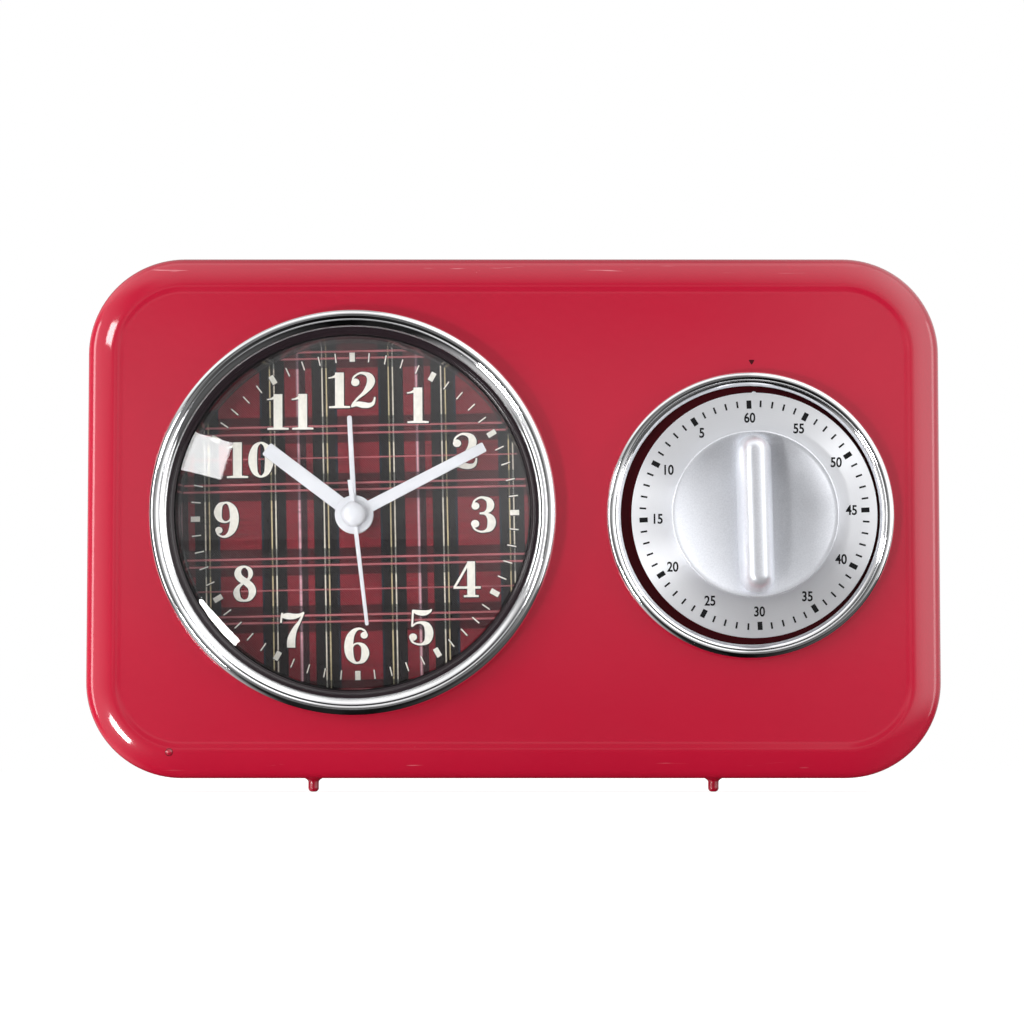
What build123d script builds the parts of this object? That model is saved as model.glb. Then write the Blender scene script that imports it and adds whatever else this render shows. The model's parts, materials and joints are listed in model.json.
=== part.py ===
from build123d import *
import math
import os

# Kitchen wall clock: a quartz alarm clock and a mechanical minute timer in one pressed steel case.
# Millimetres. +X is right seen from the front, +Y goes into the wall, +Z is up.
# The origin is the centre of the face that lies on the wall. A depth is the distance in front of the wall.

# Case
case_width = 240.0
case_height = 146.5
case_rear = 1.0
case_front = 43.5
corner_radius = 27.0
rim_roll = 3.2
rim_slope_width = 7.6
rim_slope_drop = 2.2
rim_width = 9.5
rim_edge = 0.1
inner_roll = 6.2
panel_recess = 0.3
sheet = 0.8
edge_tolerance = 0.01
side_tolerance = 0.1
index_size = 1.5
index_depth = 0.3
index_gap = 3.4

# Feet
foot_spread = 56.4
foot_depth = 32.0
foot_radius = 1.5
foot_drop = 3.8
foot_flare = 1.0
foot_round = 1.1
foot_head_radius = 3.2
foot_head_height = 1.2

# Rear cover and its fastening
cover_thickness = 2.0
cover_fit = 0.3
cover_screw_radius = 1.5
cover_screw_head = 2.75
cover_screw_length = 8.0
cross_width = 0.7
cross_share = 0.7
bracket_width = 12.0
bracket_corner_gap = 2.0
bracket_reach = 12.0
bracket_sheet = 1.2
bracket_leg = 12.0
keyhole_spread = 60.0
keyhole_height = 52.0
keyhole_entry = 4.5
keyhole_slot = 4.5
keyhole_rise = 9.0
window_margin = 1.5
sound_slot_count = 5
sound_slot_width = 3.0
sound_slot_length = 26.0
sound_slot_pitch = 6.5

# Clock cup, bezel, lens and dial
clock_z = 1.0
clock_margin = 8.5
middle_margin = 14.0
cup_overhang = 0.6
cup_wall = 1.0
cup_floor = 2.0
cup_flange_margin = 0.6
cup_flange = 1.2
cup_depth = 16.1
bezel_outer = 57.0
bezel_width = 7.0
bezel_height = 5.8
bezel_lip = 2.0
lens_flange = 1.5
lens_flange_reach = 1.5
lens_rise = 7.0
lens_lip_gap = 0.2
lens_inner_step = 0.3
bezel_screw_radius = 1.0
bezel_screw_head = 1.9
bezel_screw_head_height = 1.2
bezel_screw_grip = 2.6
bezel_screw_tip_gap = 0.2
bezel_screw_slot = 0.5
bezel_screw_count = 3
dial_thickness = 0.5
dial_gap = 0.2

# Hands, angles clockwise from upright
hand_sheet = 0.4
hand_boss = 0.3
hand_step = 1.4
hand_fit = 0.02
hand_clearance = 0.4
boss_share = 0.8
blunt_corner = 0.2
soft_corner = 0.3
round_corner = 0.45
hour_angle = -53.0
hour_length = 31.2
hour_width = 4.1
hour_hub = 4.9
minute_angle = 62.4
minute_length = 41.4
minute_width = 3.4
minute_tip_width = 2.9
minute_hub = 5.45
alarm_angle = -3.2
alarm_length = 28.3
alarm_width = 1.4
alarm_hub = 4.4
second_angle = 173.1
second_length = 31.5
second_width = 1.3
second_tip_width = 1.0
second_tail = 9.8
second_hub = 3.0
cap_radius = 3.55
cap_height = 1.9

# Movement box, measured from the hands' axis
movement_half_width = 28.0
movement_top = 27.0
movement_bottom = 31.0
movement_depth = 17.0
movement_corner = 2.0
least_corner = 0.5
movement_wall = 1.2
movement_front_wall = 1.6
movement_plate = 0.6
bushing_radius = 4.0
washer_radius = 5.2
washer_thickness = 0.5
nut_across = 9.2
nut_thickness = 1.5
thread_fit = 0.05

# Clock gearing
clock_module = 0.35
wheel_thickness = 1.0
rotor_teeth = 8
fifth_teeth = 40
fifth_pinion_teeth = 10
second_teeth = 60
second_pinion_teeth = 8
third_teeth = 60
third_pinion_teeth = 8
centre_teeth = 64
cannon_teeth = 10
minute_teeth = 30
minute_pinion_teeth = 8
hour_teeth = 32
setting_teeth = 15
alarm_teeth = 70
alarm_pinion_teeth = 14
fifth_direction = 45.0
rotor_direction = 20.0
third_direction = 150.0
minute_direction = 90.0
alarm_direction = -20.0
arbor_radius = 0.5
arbor_fit = 0.06
second_shaft = 0.5
tube_wall = 0.79
alarm_tube_wall = 0.64
tube_gap = 0.06
stud_radius = 0.6
setting_arbor = 1.0
level_gap = 0.6
level_room = 0.2
pivot_depth = 0.6
end_shake = 0.1
addendum = 0.75
dedendum = 1.05
tooth_tip = 0.10
tooth_root = 0.24

# Clock electrics
magnet_radius = 3.0
magnet_length = 2.5
magnet_gap = 0.6
stator_sheet = 0.8
stator_leg = 3.0
coil_radius = 3.2
coil_wire_radius = 2.8
coil_flange = 1.0
coil_length = 16.0
coil_core = 1.1
board_width = 21.0
board_height = 8.2
board_thickness = 1.0
board_margin = 0.8
crystal_radius = 1.0
crystal_length = 6.0
buzzer_radius = 6.2
buzzer_thickness = 2.3
post_radius = 1.2
post_inset = 1.6
post_gap = 0.3
board_top_gap = 0.4
stator_gap = 0.2
stator_side = 1.8
stator_top = 2.0
stator_foot = 2.6
stator_post_rise = 3.4
foot_post_drop = 1.3
leg_gap = 0.4
coil_drop = 5.0
chip_share = 0.3
chip_radius = 2.4
chip_height = 0.7
crystal_inset = 2.5
crystal_rise = 3.0
buzzer_inset = 0.6
buzzer_drop = 3.0
buzzer_hole = 1.2
buzzer_front = 1.0
battery_radius = 7.25
battery_length = 49.5
battery_nub_radius = 2.75
battery_nub = 1.0
battery_edge = 0.6
battery_gap = 0.4
bay_wall = 1.0
contact_sheet = 0.4
contact_width = 10.0
contact_height = 10.0
leaf_sheet = 0.3
leaf_span = 8.0
leaf_width = 6.0
leaf_foot_share = 1.4
knob_radius = 6.0
knob_height = 4.5
knob_gap = 0.5
knob_flute_count = 16
flute_radius = 0.5
switch_length = 8.0
switch_width = 5.0
switch_stem_length = 3.0
switch_stem_width = 2.0
switch_travel = 4.0
switch_reach = 2.5
switch_gap = 0.2

# Timer front
timer_z = 0.2
timer_margin = 3.9
ring_offset = -1.1
ring_outer = 40.3
ring_inner = 36.2
ring_height = 4.3
ring_peg_radius = 0.9
ring_peg_count = 3
ring_nut_radius = 2.2
ring_nut_height = 1.6
ring_bead_share = 0.26
ring_bead_turn = 140.0
ring_groove_share = 0.53
ring_groove_width = 0.25
ring_groove_depth = 0.75
ring_crest_drop = 0.08
ring_slope_share = 0.34
ring_slope_bow = 0.36
ring_lip_drop = 0.25
ring_peg_end = 0.6
disc_radius = 34.4
disc_thickness = 1.0
disc_stand_off = 2.2
disc_nib = 0.35
disc_nib_radius = 0.8
knob_dish_radius = 23.4
knob_dish_height = 4.5
knob_dish_floor = 1.6
knob_rim = 1.2
knob_draft = 0.7
knob_hollow_radius = 0.55
knob_hollow_rise = 0.22
bar_length = 44.5
bar_width = 9.8
bar_height = 12.6
bar_round = 3.4
knob_turn = 1.3
knob_bore_cover = 3.0
knob_bore_room = 0.2

# Timer movement
timer_arbor = 2.5
timer_collar = 4.2
timer_collar_room = 0.8
plate_radius = 33.5
plate_sheet = 1.0
plate_spacing = 15.0
pillar_radius = 2.0
pillar_circle = 30.0
pillar_angles = (120.0, 225.0, 280.0, 350.0)
pillar_screw_radius = 1.0
pillar_screw_head = 2.0
pillar_screw_head_height = 1.2
pillar_screw_grip = 4.0
pillar_screw_slot = 0.6
mount_screw_radius = 1.5
mount_screw_head = 2.8
mount_screw_head_height = 1.6
mount_screw_reach = 1.2
mount_screw_slot = 0.8
mount_screw_places = ((-18.0, 12.0), (-8.0, -20.0))
spring_gap = 0.3
spring_hug = 0.15
spring_pitch = 2.0
spring_half_turn_count = 11
spring_sheet = 0.4
spring_width = 5.0
main_module = 0.5
main_teeth = 72
second_timer_pinion_teeth = 10
second_timer_module = 0.4
second_timer_teeth = 56
third_timer_pinion_teeth = 8
third_timer_module = 0.35
third_timer_teeth = 48
escape_pinion_teeth = 8
escape_teeth = 20
escape_radius = 6.0
escape_root = 4.4
escape_rise = 0.6
escape_land = 0.7
escape_fall = 0.8
main_wheel_thickness = 1.5
train_wheel_thickness = 1.0
train_gap = 0.9
train_arbor = 0.8
second_timer_direction = 60.0
third_timer_direction = -45.0
escape_direction = -80.0
pallet_direction = -90.0
pallet_distance = 9.0
pallet_pin_radius = 0.4
pallet_pin_gap = 0.45
pallet_spread = 42.0
pallet_sheet = 0.8
pallet_hub = 1.8
pallet_arm_width = 2.0
cam_radius = 7.5
cam_thickness = 1.6
cam_notch = 1.5
cam_notch_direction = 155.0

# Bell and hammer
bell_x = -6.0
bell_z = -4.0
bell_radius = 20.0
bell_sheet = 1.0
bell_height = 10.0
bell_gap = 3.4
bell_post = 1.5
bell_post_base = 2.6
bell_nut_radius = 3.0
bell_nut_height = 1.6
bell_post_end = 0.5
bell_crown_share = 0.55
bell_bow_share = 0.9
bell_bow_rise = 0.36
bell_bow_sheet = 0.6
hammer_x = -26.0
hammer_z = 12.0
hammer_head = 2.0
hammer_head_height = 3.0
hammer_bearing = 200.0
hammer_gap = 0.8
hammer_arm_width = 2.4
hammer_sheet = 1.0
hammer_plate_gap = 0.6
trip_gap = 0.5

# Places of the clock and the timer, from the free width that the rim, the bezel and the ring leave
free_width = case_width - 2 * (rim_width + bezel_outer + ring_outer)
margin_scale = free_width / (clock_margin + middle_margin + timer_margin)
clock_x = -case_width / 2 + rim_width + clock_margin * margin_scale + bezel_outer
ring_x = case_width / 2 - rim_width - timer_margin * margin_scale - ring_outer
timer_x = ring_x - ring_offset

# Radii and depths that follow from the sizes above
panel_outer = case_front - panel_recess
panel_inner = panel_outer - sheet
bezel_inner = bezel_outer - bezel_width
cup_inner = bezel_inner - cup_overhang
cup_outer = cup_inner + cup_wall
cup_floor_rear = panel_outer + lens_flange - cup_depth
cup_floor_front = cup_floor_rear + cup_floor
cup_rim = cup_floor_rear + cup_depth
lens_front = cup_rim + lens_flange
lens_edge = cup_outer + lens_flange_reach
lens_seat = lens_edge + dial_gap
bezel_top = panel_outer + bezel_height
bezel_screw_circle = (lens_seat + bezel_outer) / 2
dial_front = cup_floor_front + dial_thickness
washer_front = dial_front + washer_thickness
nut_front = washer_front + nut_thickness
alarm_hand_rear = nut_front + hand_clearance
hour_hand_rear = alarm_hand_rear + hand_step
minute_hand_rear = hour_hand_rear + hand_step
second_hand_rear = minute_hand_rear + hand_step
movement_front = cup_floor_rear
movement_rear = movement_front - movement_depth
front_wall_rear = movement_front - movement_front_wall
rear_wall_front = movement_rear + movement_wall
inner_half_width = movement_half_width - movement_wall
inner_top = movement_top - movement_wall
inner_bottom = movement_bottom - movement_wall

# Levels of the clock wheels, from the rear wall forwards: each tuple is rear and front depth
level_step = wheel_thickness + level_gap
fifth_level = (rear_wall_front + level_gap, rear_wall_front + level_gap + wheel_thickness)
second_level = (fifth_level[0] + level_step, fifth_level[1] + level_step)
train_step = level_step + level_room
third_level = (second_level[0] + train_step, second_level[1] + train_step)
centre_level = (third_level[0] + train_step, third_level[1] + train_step)
plate_rear = centre_level[1] + level_gap
plate_front = plate_rear + movement_plate
minute_level = (plate_front + level_gap, plate_front + level_gap + wheel_thickness)
hour_level = (minute_level[0] + level_step, minute_level[1] + level_step)
alarm_step = train_step + level_room
alarm_level = (hour_level[0] + alarm_step, hour_level[1] + alarm_step)
cannon_outer = second_shaft + tube_gap + tube_wall
hour_bore = cannon_outer + tube_gap
hour_tube = hour_bore + tube_wall
alarm_bore = hour_tube + tube_gap
alarm_tube = alarm_bore + alarm_tube_wall
bushing_bore = alarm_tube + tube_gap

# Timer depths
disc_rear = panel_outer + disc_stand_off
disc_front = disc_rear + disc_thickness
bar_top = disc_front + bar_height
front_plate_rear = panel_inner - plate_sheet
rear_plate_front = front_plate_rear - plate_spacing
rear_plate_rear = rear_plate_front - plate_sheet
spring_level = (rear_plate_front + spring_gap, rear_plate_front + spring_gap + spring_width)
main_level = (spring_level[1] + train_gap, spring_level[1] + train_gap + main_wheel_thickness)
second_timer_level = (main_level[1] + train_gap, main_level[1] + train_gap + train_wheel_thickness)
train_wheel_step = train_gap + train_wheel_thickness
third_timer_level = (second_timer_level[1] + train_gap, second_timer_level[1] + train_wheel_step)
escape_level = (third_timer_level[1] + train_gap, third_timer_level[1] + train_gap + pallet_sheet)

BASE = (Align.CENTER, Align.CENTER, Align.MIN)
OUTWARD = (0, -1, 0)
WALL = Plane(origin=(0, 0, 0), x_dir=(1, 0, 0), z_dir=OUTWARD)
CLOCK = (clock_x, clock_z)
TIMER = (timer_x, timer_z)


def at(place, depth):
    """Location of a place (x, z) at a depth, with the local z axis pointing out of the wall."""
    return WALL.location * Location((place[0], place[1], depth))


def near(centre, offset):
    """Place that lies at an offset (right, up) from a centre."""
    return (centre[0] + offset[0], centre[1] + offset[1])


def polar(centre, distance, direction):
    """Place at a distance from a centre, with the direction in degrees anticlockwise from right."""
    angle = math.radians(direction)
    return (centre[0] + distance * math.cos(angle), centre[1] + distance * math.sin(angle))


def disc(place, radius, rear, front, bore=0.0):
    """Round plate or rod that stands square to the wall, with an optional bore."""
    solid = at(place, rear) * Cylinder(radius, front - rear, align=BASE)
    if bore > 0:
        solid -= at(place, rear) * Cylinder(bore, front - rear, align=BASE)
    return solid


def slab(place, sketch, rear, front):
    """Flat sketch made into a plate between two depths."""
    return extrude(at(place, rear) * sketch, amount=front - rear, dir=OUTWARD)


def block(left, right, bottom, top, rear, front):
    """Plain block between its six faces."""
    middle = ((left + right) / 2, (bottom + top) / 2)
    return at(middle, rear) * Box(right - left, top - bottom, front - rear, align=BASE)


def turned(place, outline):
    """Solid of revolution about the wall normal, from an outline of (radius, depth)."""
    x, z = place
    profile = Plane(origin=(x, 0, z), x_dir=(1, 0, 0), z_dir=(0, 0, -1))
    return revolve(profile.location * make_face(outline), Axis((x, 0, z), OUTWARD), 360)


def gear_outline(module, teeth, phase):
    """Outline of a fine gear with straight flanks that leave backlash."""
    pitch_radius = module * teeth / 2
    tip = pitch_radius + addendum * module
    root = pitch_radius - dedendum * module
    corners = ((root, -tooth_root), (tip, -tooth_tip), (tip, tooth_tip), (root, tooth_root))
    points = []
    for tooth in range(teeth):
        for radius, share in corners:
            angle = math.radians(phase + 360 * (tooth + share) / teeth)
            points.append((radius * math.cos(angle), radius * math.sin(angle)))
    return make_face(Polyline(*points, close=True))


def gear(place, module, teeth, level, phase, bore=0.0):
    """Gear between the two depths of a level."""
    solid = slab(place, gear_outline(module, teeth, phase), *level)
    if bore > 0:
        solid -= disc(place, bore, *level)
    return solid


def mesh_phase(teeth, phase, direction, other_teeth):
    """Phase of the other gear, so that its gap faces a tooth of this one along the line of centres."""
    share = (direction - phase) * teeth / 360 % 1
    return direction + 180 - (0.5 - share) * 360 / other_teeth


def gear_distance(module, teeth, other_teeth):
    """Distance between the axes of two gears in mesh."""
    return module * (teeth + other_teeth) / 2


def link(start, end, width, rear, front):
    """Flat arm with round ends between two places."""
    length = math.dist(start, end)
    direction = math.degrees(math.atan2(end[1] - start[1], end[0] - start[0]))
    arm = Rotation(0, 0, direction) * Pos(length / 2, 0) * SlotOverall(length + width, width)
    return slab(start, arm, rear, front)


def group(solids):
    """Several separate solids of one kind."""
    return Compound(children=[solid for part in solids for solid in part.solids()])


def around(count, start):
    """Evenly spaced directions in degrees."""
    return [start + 360 * step / count for step in range(count)]


os.makedirs("parts", exist_ok=True)


def save(name, shape):
    """Write one piece to its own file."""
    export_step(shape, f"parts/{name}.step")


# Places of the clock arbors
fifth_place = polar(CLOCK, gear_distance(clock_module, fifth_pinion_teeth, second_teeth), fifth_direction)
rotor_place = polar(fifth_place, gear_distance(clock_module, rotor_teeth, fifth_teeth), rotor_direction)
third_distance = gear_distance(clock_module, second_pinion_teeth, third_teeth)
third_place = polar(CLOCK, third_distance, third_direction)
centre_module = 2 * third_distance / (third_pinion_teeth + centre_teeth)
minute_distance = gear_distance(clock_module, cannon_teeth, minute_teeth)
minute_place = polar(CLOCK, minute_distance, minute_direction)
motion_module = 2 * minute_distance / (minute_pinion_teeth + hour_teeth)
setting_distance = gear_distance(clock_module, minute_teeth, setting_teeth)
setting_place = polar(minute_place, setting_distance, minute_direction)
alarm_place = polar(CLOCK, gear_distance(clock_module, alarm_pinion_teeth, alarm_teeth), alarm_direction)

# Places of the timer arbors
second_timer_place = polar(
    TIMER, gear_distance(main_module, main_teeth, second_timer_pinion_teeth), second_timer_direction
)
third_timer_place = polar(
    second_timer_place,
    gear_distance(second_timer_module, second_timer_teeth, third_timer_pinion_teeth),
    third_timer_direction,
)
escape_place = polar(
    third_timer_place,
    gear_distance(third_timer_module, third_timer_teeth, escape_pinion_teeth),
    escape_direction,
)
pallet_place = polar(escape_place, pallet_distance, pallet_direction)
hammer_place = near(TIMER, (hammer_x, hammer_z))
bell_place = near(TIMER, (bell_x, bell_z))
pillar_places = [polar(TIMER, pillar_circle, angle) for angle in pillar_angles]
mount_places = [near(TIMER, offset) for offset in mount_screw_places]
ring_place = (ring_x, timer_z)
peg_places = [polar(ring_place, (ring_outer + ring_inner) / 2, a) for a in around(ring_peg_count, 90)]
bezel_screw_places = [polar(CLOCK, bezel_screw_circle, a) for a in around(bezel_screw_count, 90)]
index_place = (timer_x + ring_offset / 2, timer_z + ring_outer + index_gap)


# Front case
def make_front_case():
    """Pressed shell: rounded edge, sloping rim, recessed panel, and the holes for what is fastened to it."""
    outline = RectangleRounded(case_width, case_height, corner_radius)
    shell = slab((0, 0), outline, case_rear, case_front)
    face = shell.faces().sort_by(Axis.Y)[0]
    shell = chamfer(face.edges(), rim_slope_width, rim_slope_drop, reference=face)
    slope_foot = case_front - rim_slope_drop
    shell = fillet(shell.edges().filter_by(lambda edge: is_level_edge(edge, slope_foot)), rim_roll)
    inset = 2 * rim_width
    recess = RectangleRounded(case_width - inset, case_height - inset, corner_radius - rim_width)
    shell -= slab((0, 0), recess, panel_outer, case_front)
    shell = fillet(shell.edges().filter_by(lambda edge: is_recess_edge(edge, case_front)), rim_edge)
    shell = fillet(shell.edges().filter_by(lambda edge: is_recess_edge(edge, panel_outer)), rim_edge)
    inner = RectangleRounded(case_width - 2 * sheet, case_height - 2 * sheet, corner_radius - sheet)
    hollow = slab((0, 0), inner, case_rear, panel_inner)
    hollow = fillet(hollow.faces().sort_by(Axis.Y)[0].edges(), inner_roll)
    shell -= hollow
    holes = [disc(CLOCK, cup_outer + cover_fit, panel_inner, panel_outer)]
    holes += [disc(p, bezel_screw_radius + thread_fit, panel_inner, panel_outer) for p in bezel_screw_places]
    holes += [disc(TIMER, timer_collar + timer_collar_room, panel_inner, panel_outer)]
    holes += [disc(p, mount_screw_radius + thread_fit, panel_inner, panel_outer) for p in mount_places]
    holes += [disc(p, ring_peg_radius + thread_fit, panel_inner, panel_outer) for p in peg_places]
    holes += [foot_rod(side, foot_radius + thread_fit, -sheet, 0) for side in (-1, 1)]
    triangle = RegularPolygon(index_size, 3, rotation=-90)
    holes += [slab(index_place, triangle, panel_outer - index_depth, panel_outer)]
    for hole in holes:
        shell -= hole
    return shell


def is_level_edge(edge, depth):
    """True for an edge that lies flat at a depth."""
    box = edge.bounding_box()
    return abs(box.min.Y + depth) < edge_tolerance and abs(box.max.Y + depth) < edge_tolerance


def is_recess_edge(edge, depth):
    """True for the edges of the panel recess that lie flat at a depth."""
    box = edge.bounding_box()
    inside_x = max(abs(box.min.X), abs(box.max.X)) < case_width / 2 - rim_width + side_tolerance
    inside_z = max(abs(box.min.Z), abs(box.max.Z)) < case_height / 2 - rim_width + side_tolerance
    return is_level_edge(edge, depth) and inside_x and inside_z


def foot_rod(side, radius, top, bottom):
    """Upright rod under the case; top and bottom are measured down from the case's lower face."""
    base = Location((side * foot_spread, -foot_depth, -case_height / 2 - bottom))
    return base * Cylinder(radius, bottom - top, align=BASE)


def make_feet():
    """Two rounded pegs, each held by a head inside the case and a flared root below it."""
    feet = []
    for side in (-1, 1):
        peg = foot_rod(side, foot_radius, -sheet, foot_drop)
        peg = fillet(peg.edges().sort_by(Axis.Z)[0], foot_round)
        head = foot_rod(side, foot_head_radius, -sheet - foot_head_height, -sheet)
        base = Location((side * foot_spread, -foot_depth, -case_height / 2 - foot_flare))
        flare = base * Cone(foot_radius, foot_radius + foot_flare, foot_flare, align=BASE)
        feet.append(peg + head + flare)
    return group(feet)


save("front_case", make_front_case())
save("feet", make_feet())

# Rear cover, brackets and screws
inner_wall_x = case_width / 2 - sheet
bracket_height = case_height / 2 - corner_radius - bracket_width / 2 - bracket_corner_gap
bracket_screw_x = inner_wall_x - bracket_sheet - (bracket_reach - bracket_sheet) / 2
cover_screw_places = [(sx * bracket_screw_x, sz * bracket_height) for sx in (-1, 1) for sz in (-1, 1)]
head_depth = cover_screw_head - cover_screw_radius


def make_rear_cover():
    """Plate with keyholes, movement window, sound slots and countersunk screw holes."""
    gap = 2 * (sheet + cover_fit)
    outline = RectangleRounded(case_width - gap, case_height - gap, corner_radius - sheet - cover_fit)
    cover = slab((0, 0), outline, 0, cover_thickness)
    window = block(
        clock_x - movement_half_width - window_margin,
        clock_x + movement_half_width + window_margin,
        clock_z - movement_bottom - window_margin,
        clock_z + movement_top + window_margin,
        0,
        cover_thickness,
    )
    corners = window.edges().filter_by(Axis.Y)
    cover -= fillet(corners, movement_corner + window_margin)
    entry = Circle(keyhole_entry)
    rise = Pos(0, keyhole_rise / 2) * Rectangle(keyhole_slot, keyhole_rise)
    seat = Pos(0, keyhole_rise) * Circle(keyhole_slot / 2)
    for side in (-1, 1):
        cover -= slab((side * keyhole_spread, keyhole_height), entry + rise + seat, 0, cover_thickness)
    for step in range(sound_slot_count):
        place = near(bell_place, ((step - (sound_slot_count - 1) / 2) * sound_slot_pitch, 0))
        slot = SlotOverall(sound_slot_length, sound_slot_width, rotation=90)
        cover -= slab(place, slot, 0, cover_thickness)
    for place in cover_screw_places:
        cover -= disc(place, cover_screw_radius + thread_fit, 0, cover_thickness)
        cover -= at(place, 0) * Cone(
            cover_screw_head + thread_fit, cover_screw_radius + thread_fit, head_depth, align=BASE
        )
    return cover


def make_brackets():
    """Four angles welded to the side walls, each with a threaded hole for a cover screw."""
    brackets = []
    for x, z in cover_screw_places:
        side = math.copysign(1, x)
        outer = side * inner_wall_x
        low = z - bracket_width / 2
        high = z + bracket_width / 2
        edges = sorted((outer, outer - side * bracket_reach))
        flange = block(*edges, low, high, cover_thickness, cover_thickness + bracket_sheet)
        edges = sorted((outer, outer - side * bracket_sheet))
        leg = block(*edges, low, high, cover_thickness, cover_thickness + bracket_leg)
        hole = disc((x, z), cover_screw_radius + thread_fit, cover_thickness, cover_thickness + bracket_sheet)
        brackets.append(flange + leg - hole)
    return group(brackets)


def make_cover_screws():
    """Countersunk screws, flush with the cover, with a cross slot."""
    screws = []
    for place in cover_screw_places:
        head = at(place, 0) * Cone(cover_screw_head, cover_screw_radius, head_depth, align=BASE)
        shank = disc(place, cover_screw_radius, head_depth, cover_screw_length)
        cross = Rectangle(cover_screw_head, cross_width) + Rectangle(cross_width, cover_screw_head)
        screws.append(head + shank - slab(place, cross, 0, head_depth * cross_share))
    return group(screws)


save("rear_cover", make_rear_cover())
save("cover_brackets", make_brackets())
save("cover_screws", make_cover_screws())


# Clock cup, bezel, lens and dial
def beaded_ring(place, outer, inner, base, top, seat_radius, seat_depth, lip):
    """Ring with an outer bead, a groove, a slope that faces the middle and a flat lip over a stepped seat."""
    width = outer - inner - lip
    bead = width * ring_bead_share
    groove = outer - width * ring_groove_share
    crest = groove - ring_groove_width
    foot = inner + lip
    crest_top = top - ring_crest_drop
    foot_top = crest_top - width * ring_slope_share
    bead_end = polar((outer - bead, top - bead), bead, ring_bead_turn)
    outline = (
        Polyline((seat_radius, base), (outer, base), (outer, top - bead))
        + ThreePointArc((outer, top - bead), (outer - bead, top), bead_end)
        + Polyline(bead_end, (groove, top - bead * ring_groove_depth), (crest, crest_top))
        + ThreePointArc(
            (crest, crest_top),
            ((crest + foot) / 2, crest_top - (crest_top - foot_top) * ring_slope_bow),
            (foot, foot_top),
        )
    )
    if seat_radius > inner:
        lip_top = foot_top - ring_lip_drop
        outline += Polyline((foot, foot_top), (inner, lip_top), (inner, seat_depth))
        outline += Polyline((inner, seat_depth), (seat_radius, seat_depth), (seat_radius, base))
    else:
        outline += Line((foot, foot_top), (seat_radius, base))
    return turned(place, outline)


def make_clock_bezel():
    """Chromed ring that clamps the lens on the cup, with blind holes for its screws."""
    seat_depth = lens_front + lens_lip_gap
    bezel = beaded_ring(
        CLOCK, bezel_outer, bezel_inner, panel_outer, bezel_top, lens_seat, seat_depth, bezel_lip
    )
    for place in bezel_screw_places:
        bezel -= disc(place, bezel_screw_radius + thread_fit, panel_outer, panel_outer + bezel_screw_grip)
    return bezel


def make_lens():
    """Domed clear lens with a flat flange."""
    apex = lens_front + lens_rise
    inner_apex = apex - lens_flange
    edge = bezel_inner - lens_lip_gap
    outer_radius = (edge ** 2 + lens_rise ** 2) / (2 * lens_rise)
    inner_edge = edge - lens_inner_step
    inner_rise = inner_apex - cup_rim
    inner_radius = (inner_edge ** 2 + inner_rise ** 2) / (2 * inner_rise)
    outline = (
        Polyline((0, inner_apex), (0, apex))
        + RadiusArc((0, apex), (edge, lens_front), outer_radius)
        + Polyline((edge, lens_front), (lens_edge, lens_front), (lens_edge, cup_rim), (inner_edge, cup_rim))
        + RadiusArc((inner_edge, cup_rim), (0, inner_apex), -inner_radius)
    )
    return turned(CLOCK, outline)


def make_cup():
    """Deep dish behind the panel: it carries the dial, and its rim carries the lens."""
    cup = disc(CLOCK, cup_outer, cup_floor_rear, cup_rim)
    cup -= disc(CLOCK, cup_inner, cup_floor_front, cup_rim)
    flange_radius = bezel_outer - cup_flange_margin
    cup += disc(CLOCK, flange_radius, panel_inner - cup_flange, panel_inner, cup_outer)
    cup -= disc(CLOCK, bushing_radius + thread_fit, cup_floor_rear, cup_floor_front)
    for place in bezel_screw_places:
        cup -= disc(place, bezel_screw_radius + thread_fit, panel_inner - cup_flange, panel_inner)
    return cup


def make_bezel_screws():
    """Screws that pull the bezel and the cup together through the panel."""
    screws = []
    seat = panel_inner - cup_flange
    for place in bezel_screw_places:
        head = disc(place, bezel_screw_head, seat - bezel_screw_head_height, seat)
        slot_sketch = Rectangle(2 * bezel_screw_head, bezel_screw_slot)
        slot = slab(place, slot_sketch, seat - bezel_screw_head_height, seat - bezel_screw_head_height / 2)
        shank = disc(place, bezel_screw_radius, seat, panel_outer + bezel_screw_grip - bezel_screw_tip_gap)
        screws.append(head - slot + shank)
    return group(screws)


save("clock_bezel", make_clock_bezel())
save("clock_lens", make_lens())
save("clock_cup", make_cup())
save("bezel_screws", make_bezel_screws())
dial_radius = cup_inner - dial_gap
save("clock_dial", disc(CLOCK, dial_radius, cup_floor_front, dial_front, bushing_radius + thread_fit))
save("dial_washer", disc(CLOCK, washer_radius, dial_front, washer_front, bushing_radius + thread_fit))
nut_sketch = RegularPolygon(nut_across / 2, 6, major_radius=False)
movement_nut = slab(CLOCK, nut_sketch, washer_front, nut_front)
save("movement_nut", movement_nut - disc(CLOCK, bushing_radius + thread_fit, washer_front, nut_front))


# Hands
def make_hand(outline, hub, rear, bore, angle):
    """Flat hand with a round hub and a short boss behind it, turned clockwise to its angle."""
    sketch = Rotation(0, 0, -angle) * outline + Circle(hub)
    front = rear + hand_sheet
    hand = slab(CLOCK, sketch, rear, front)
    hand += disc(CLOCK, hub * boss_share, rear - hand_boss, rear)
    if bore > 0:
        hand -= disc(CLOCK, bore + hand_fit, rear - hand_boss, front)
    return hand


def bar_outline(length, root_width, tip_width, corner):
    """Straight blade with a slight taper and rounded tip corners."""
    root = root_width / 2
    tip = tip_width / 2
    face = make_face(Polyline((-root, 0), (root, 0), (tip, length), (-tip, length), close=True))
    return fillet(face.vertices().sort_by(Axis.Y)[2:], corner)


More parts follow.
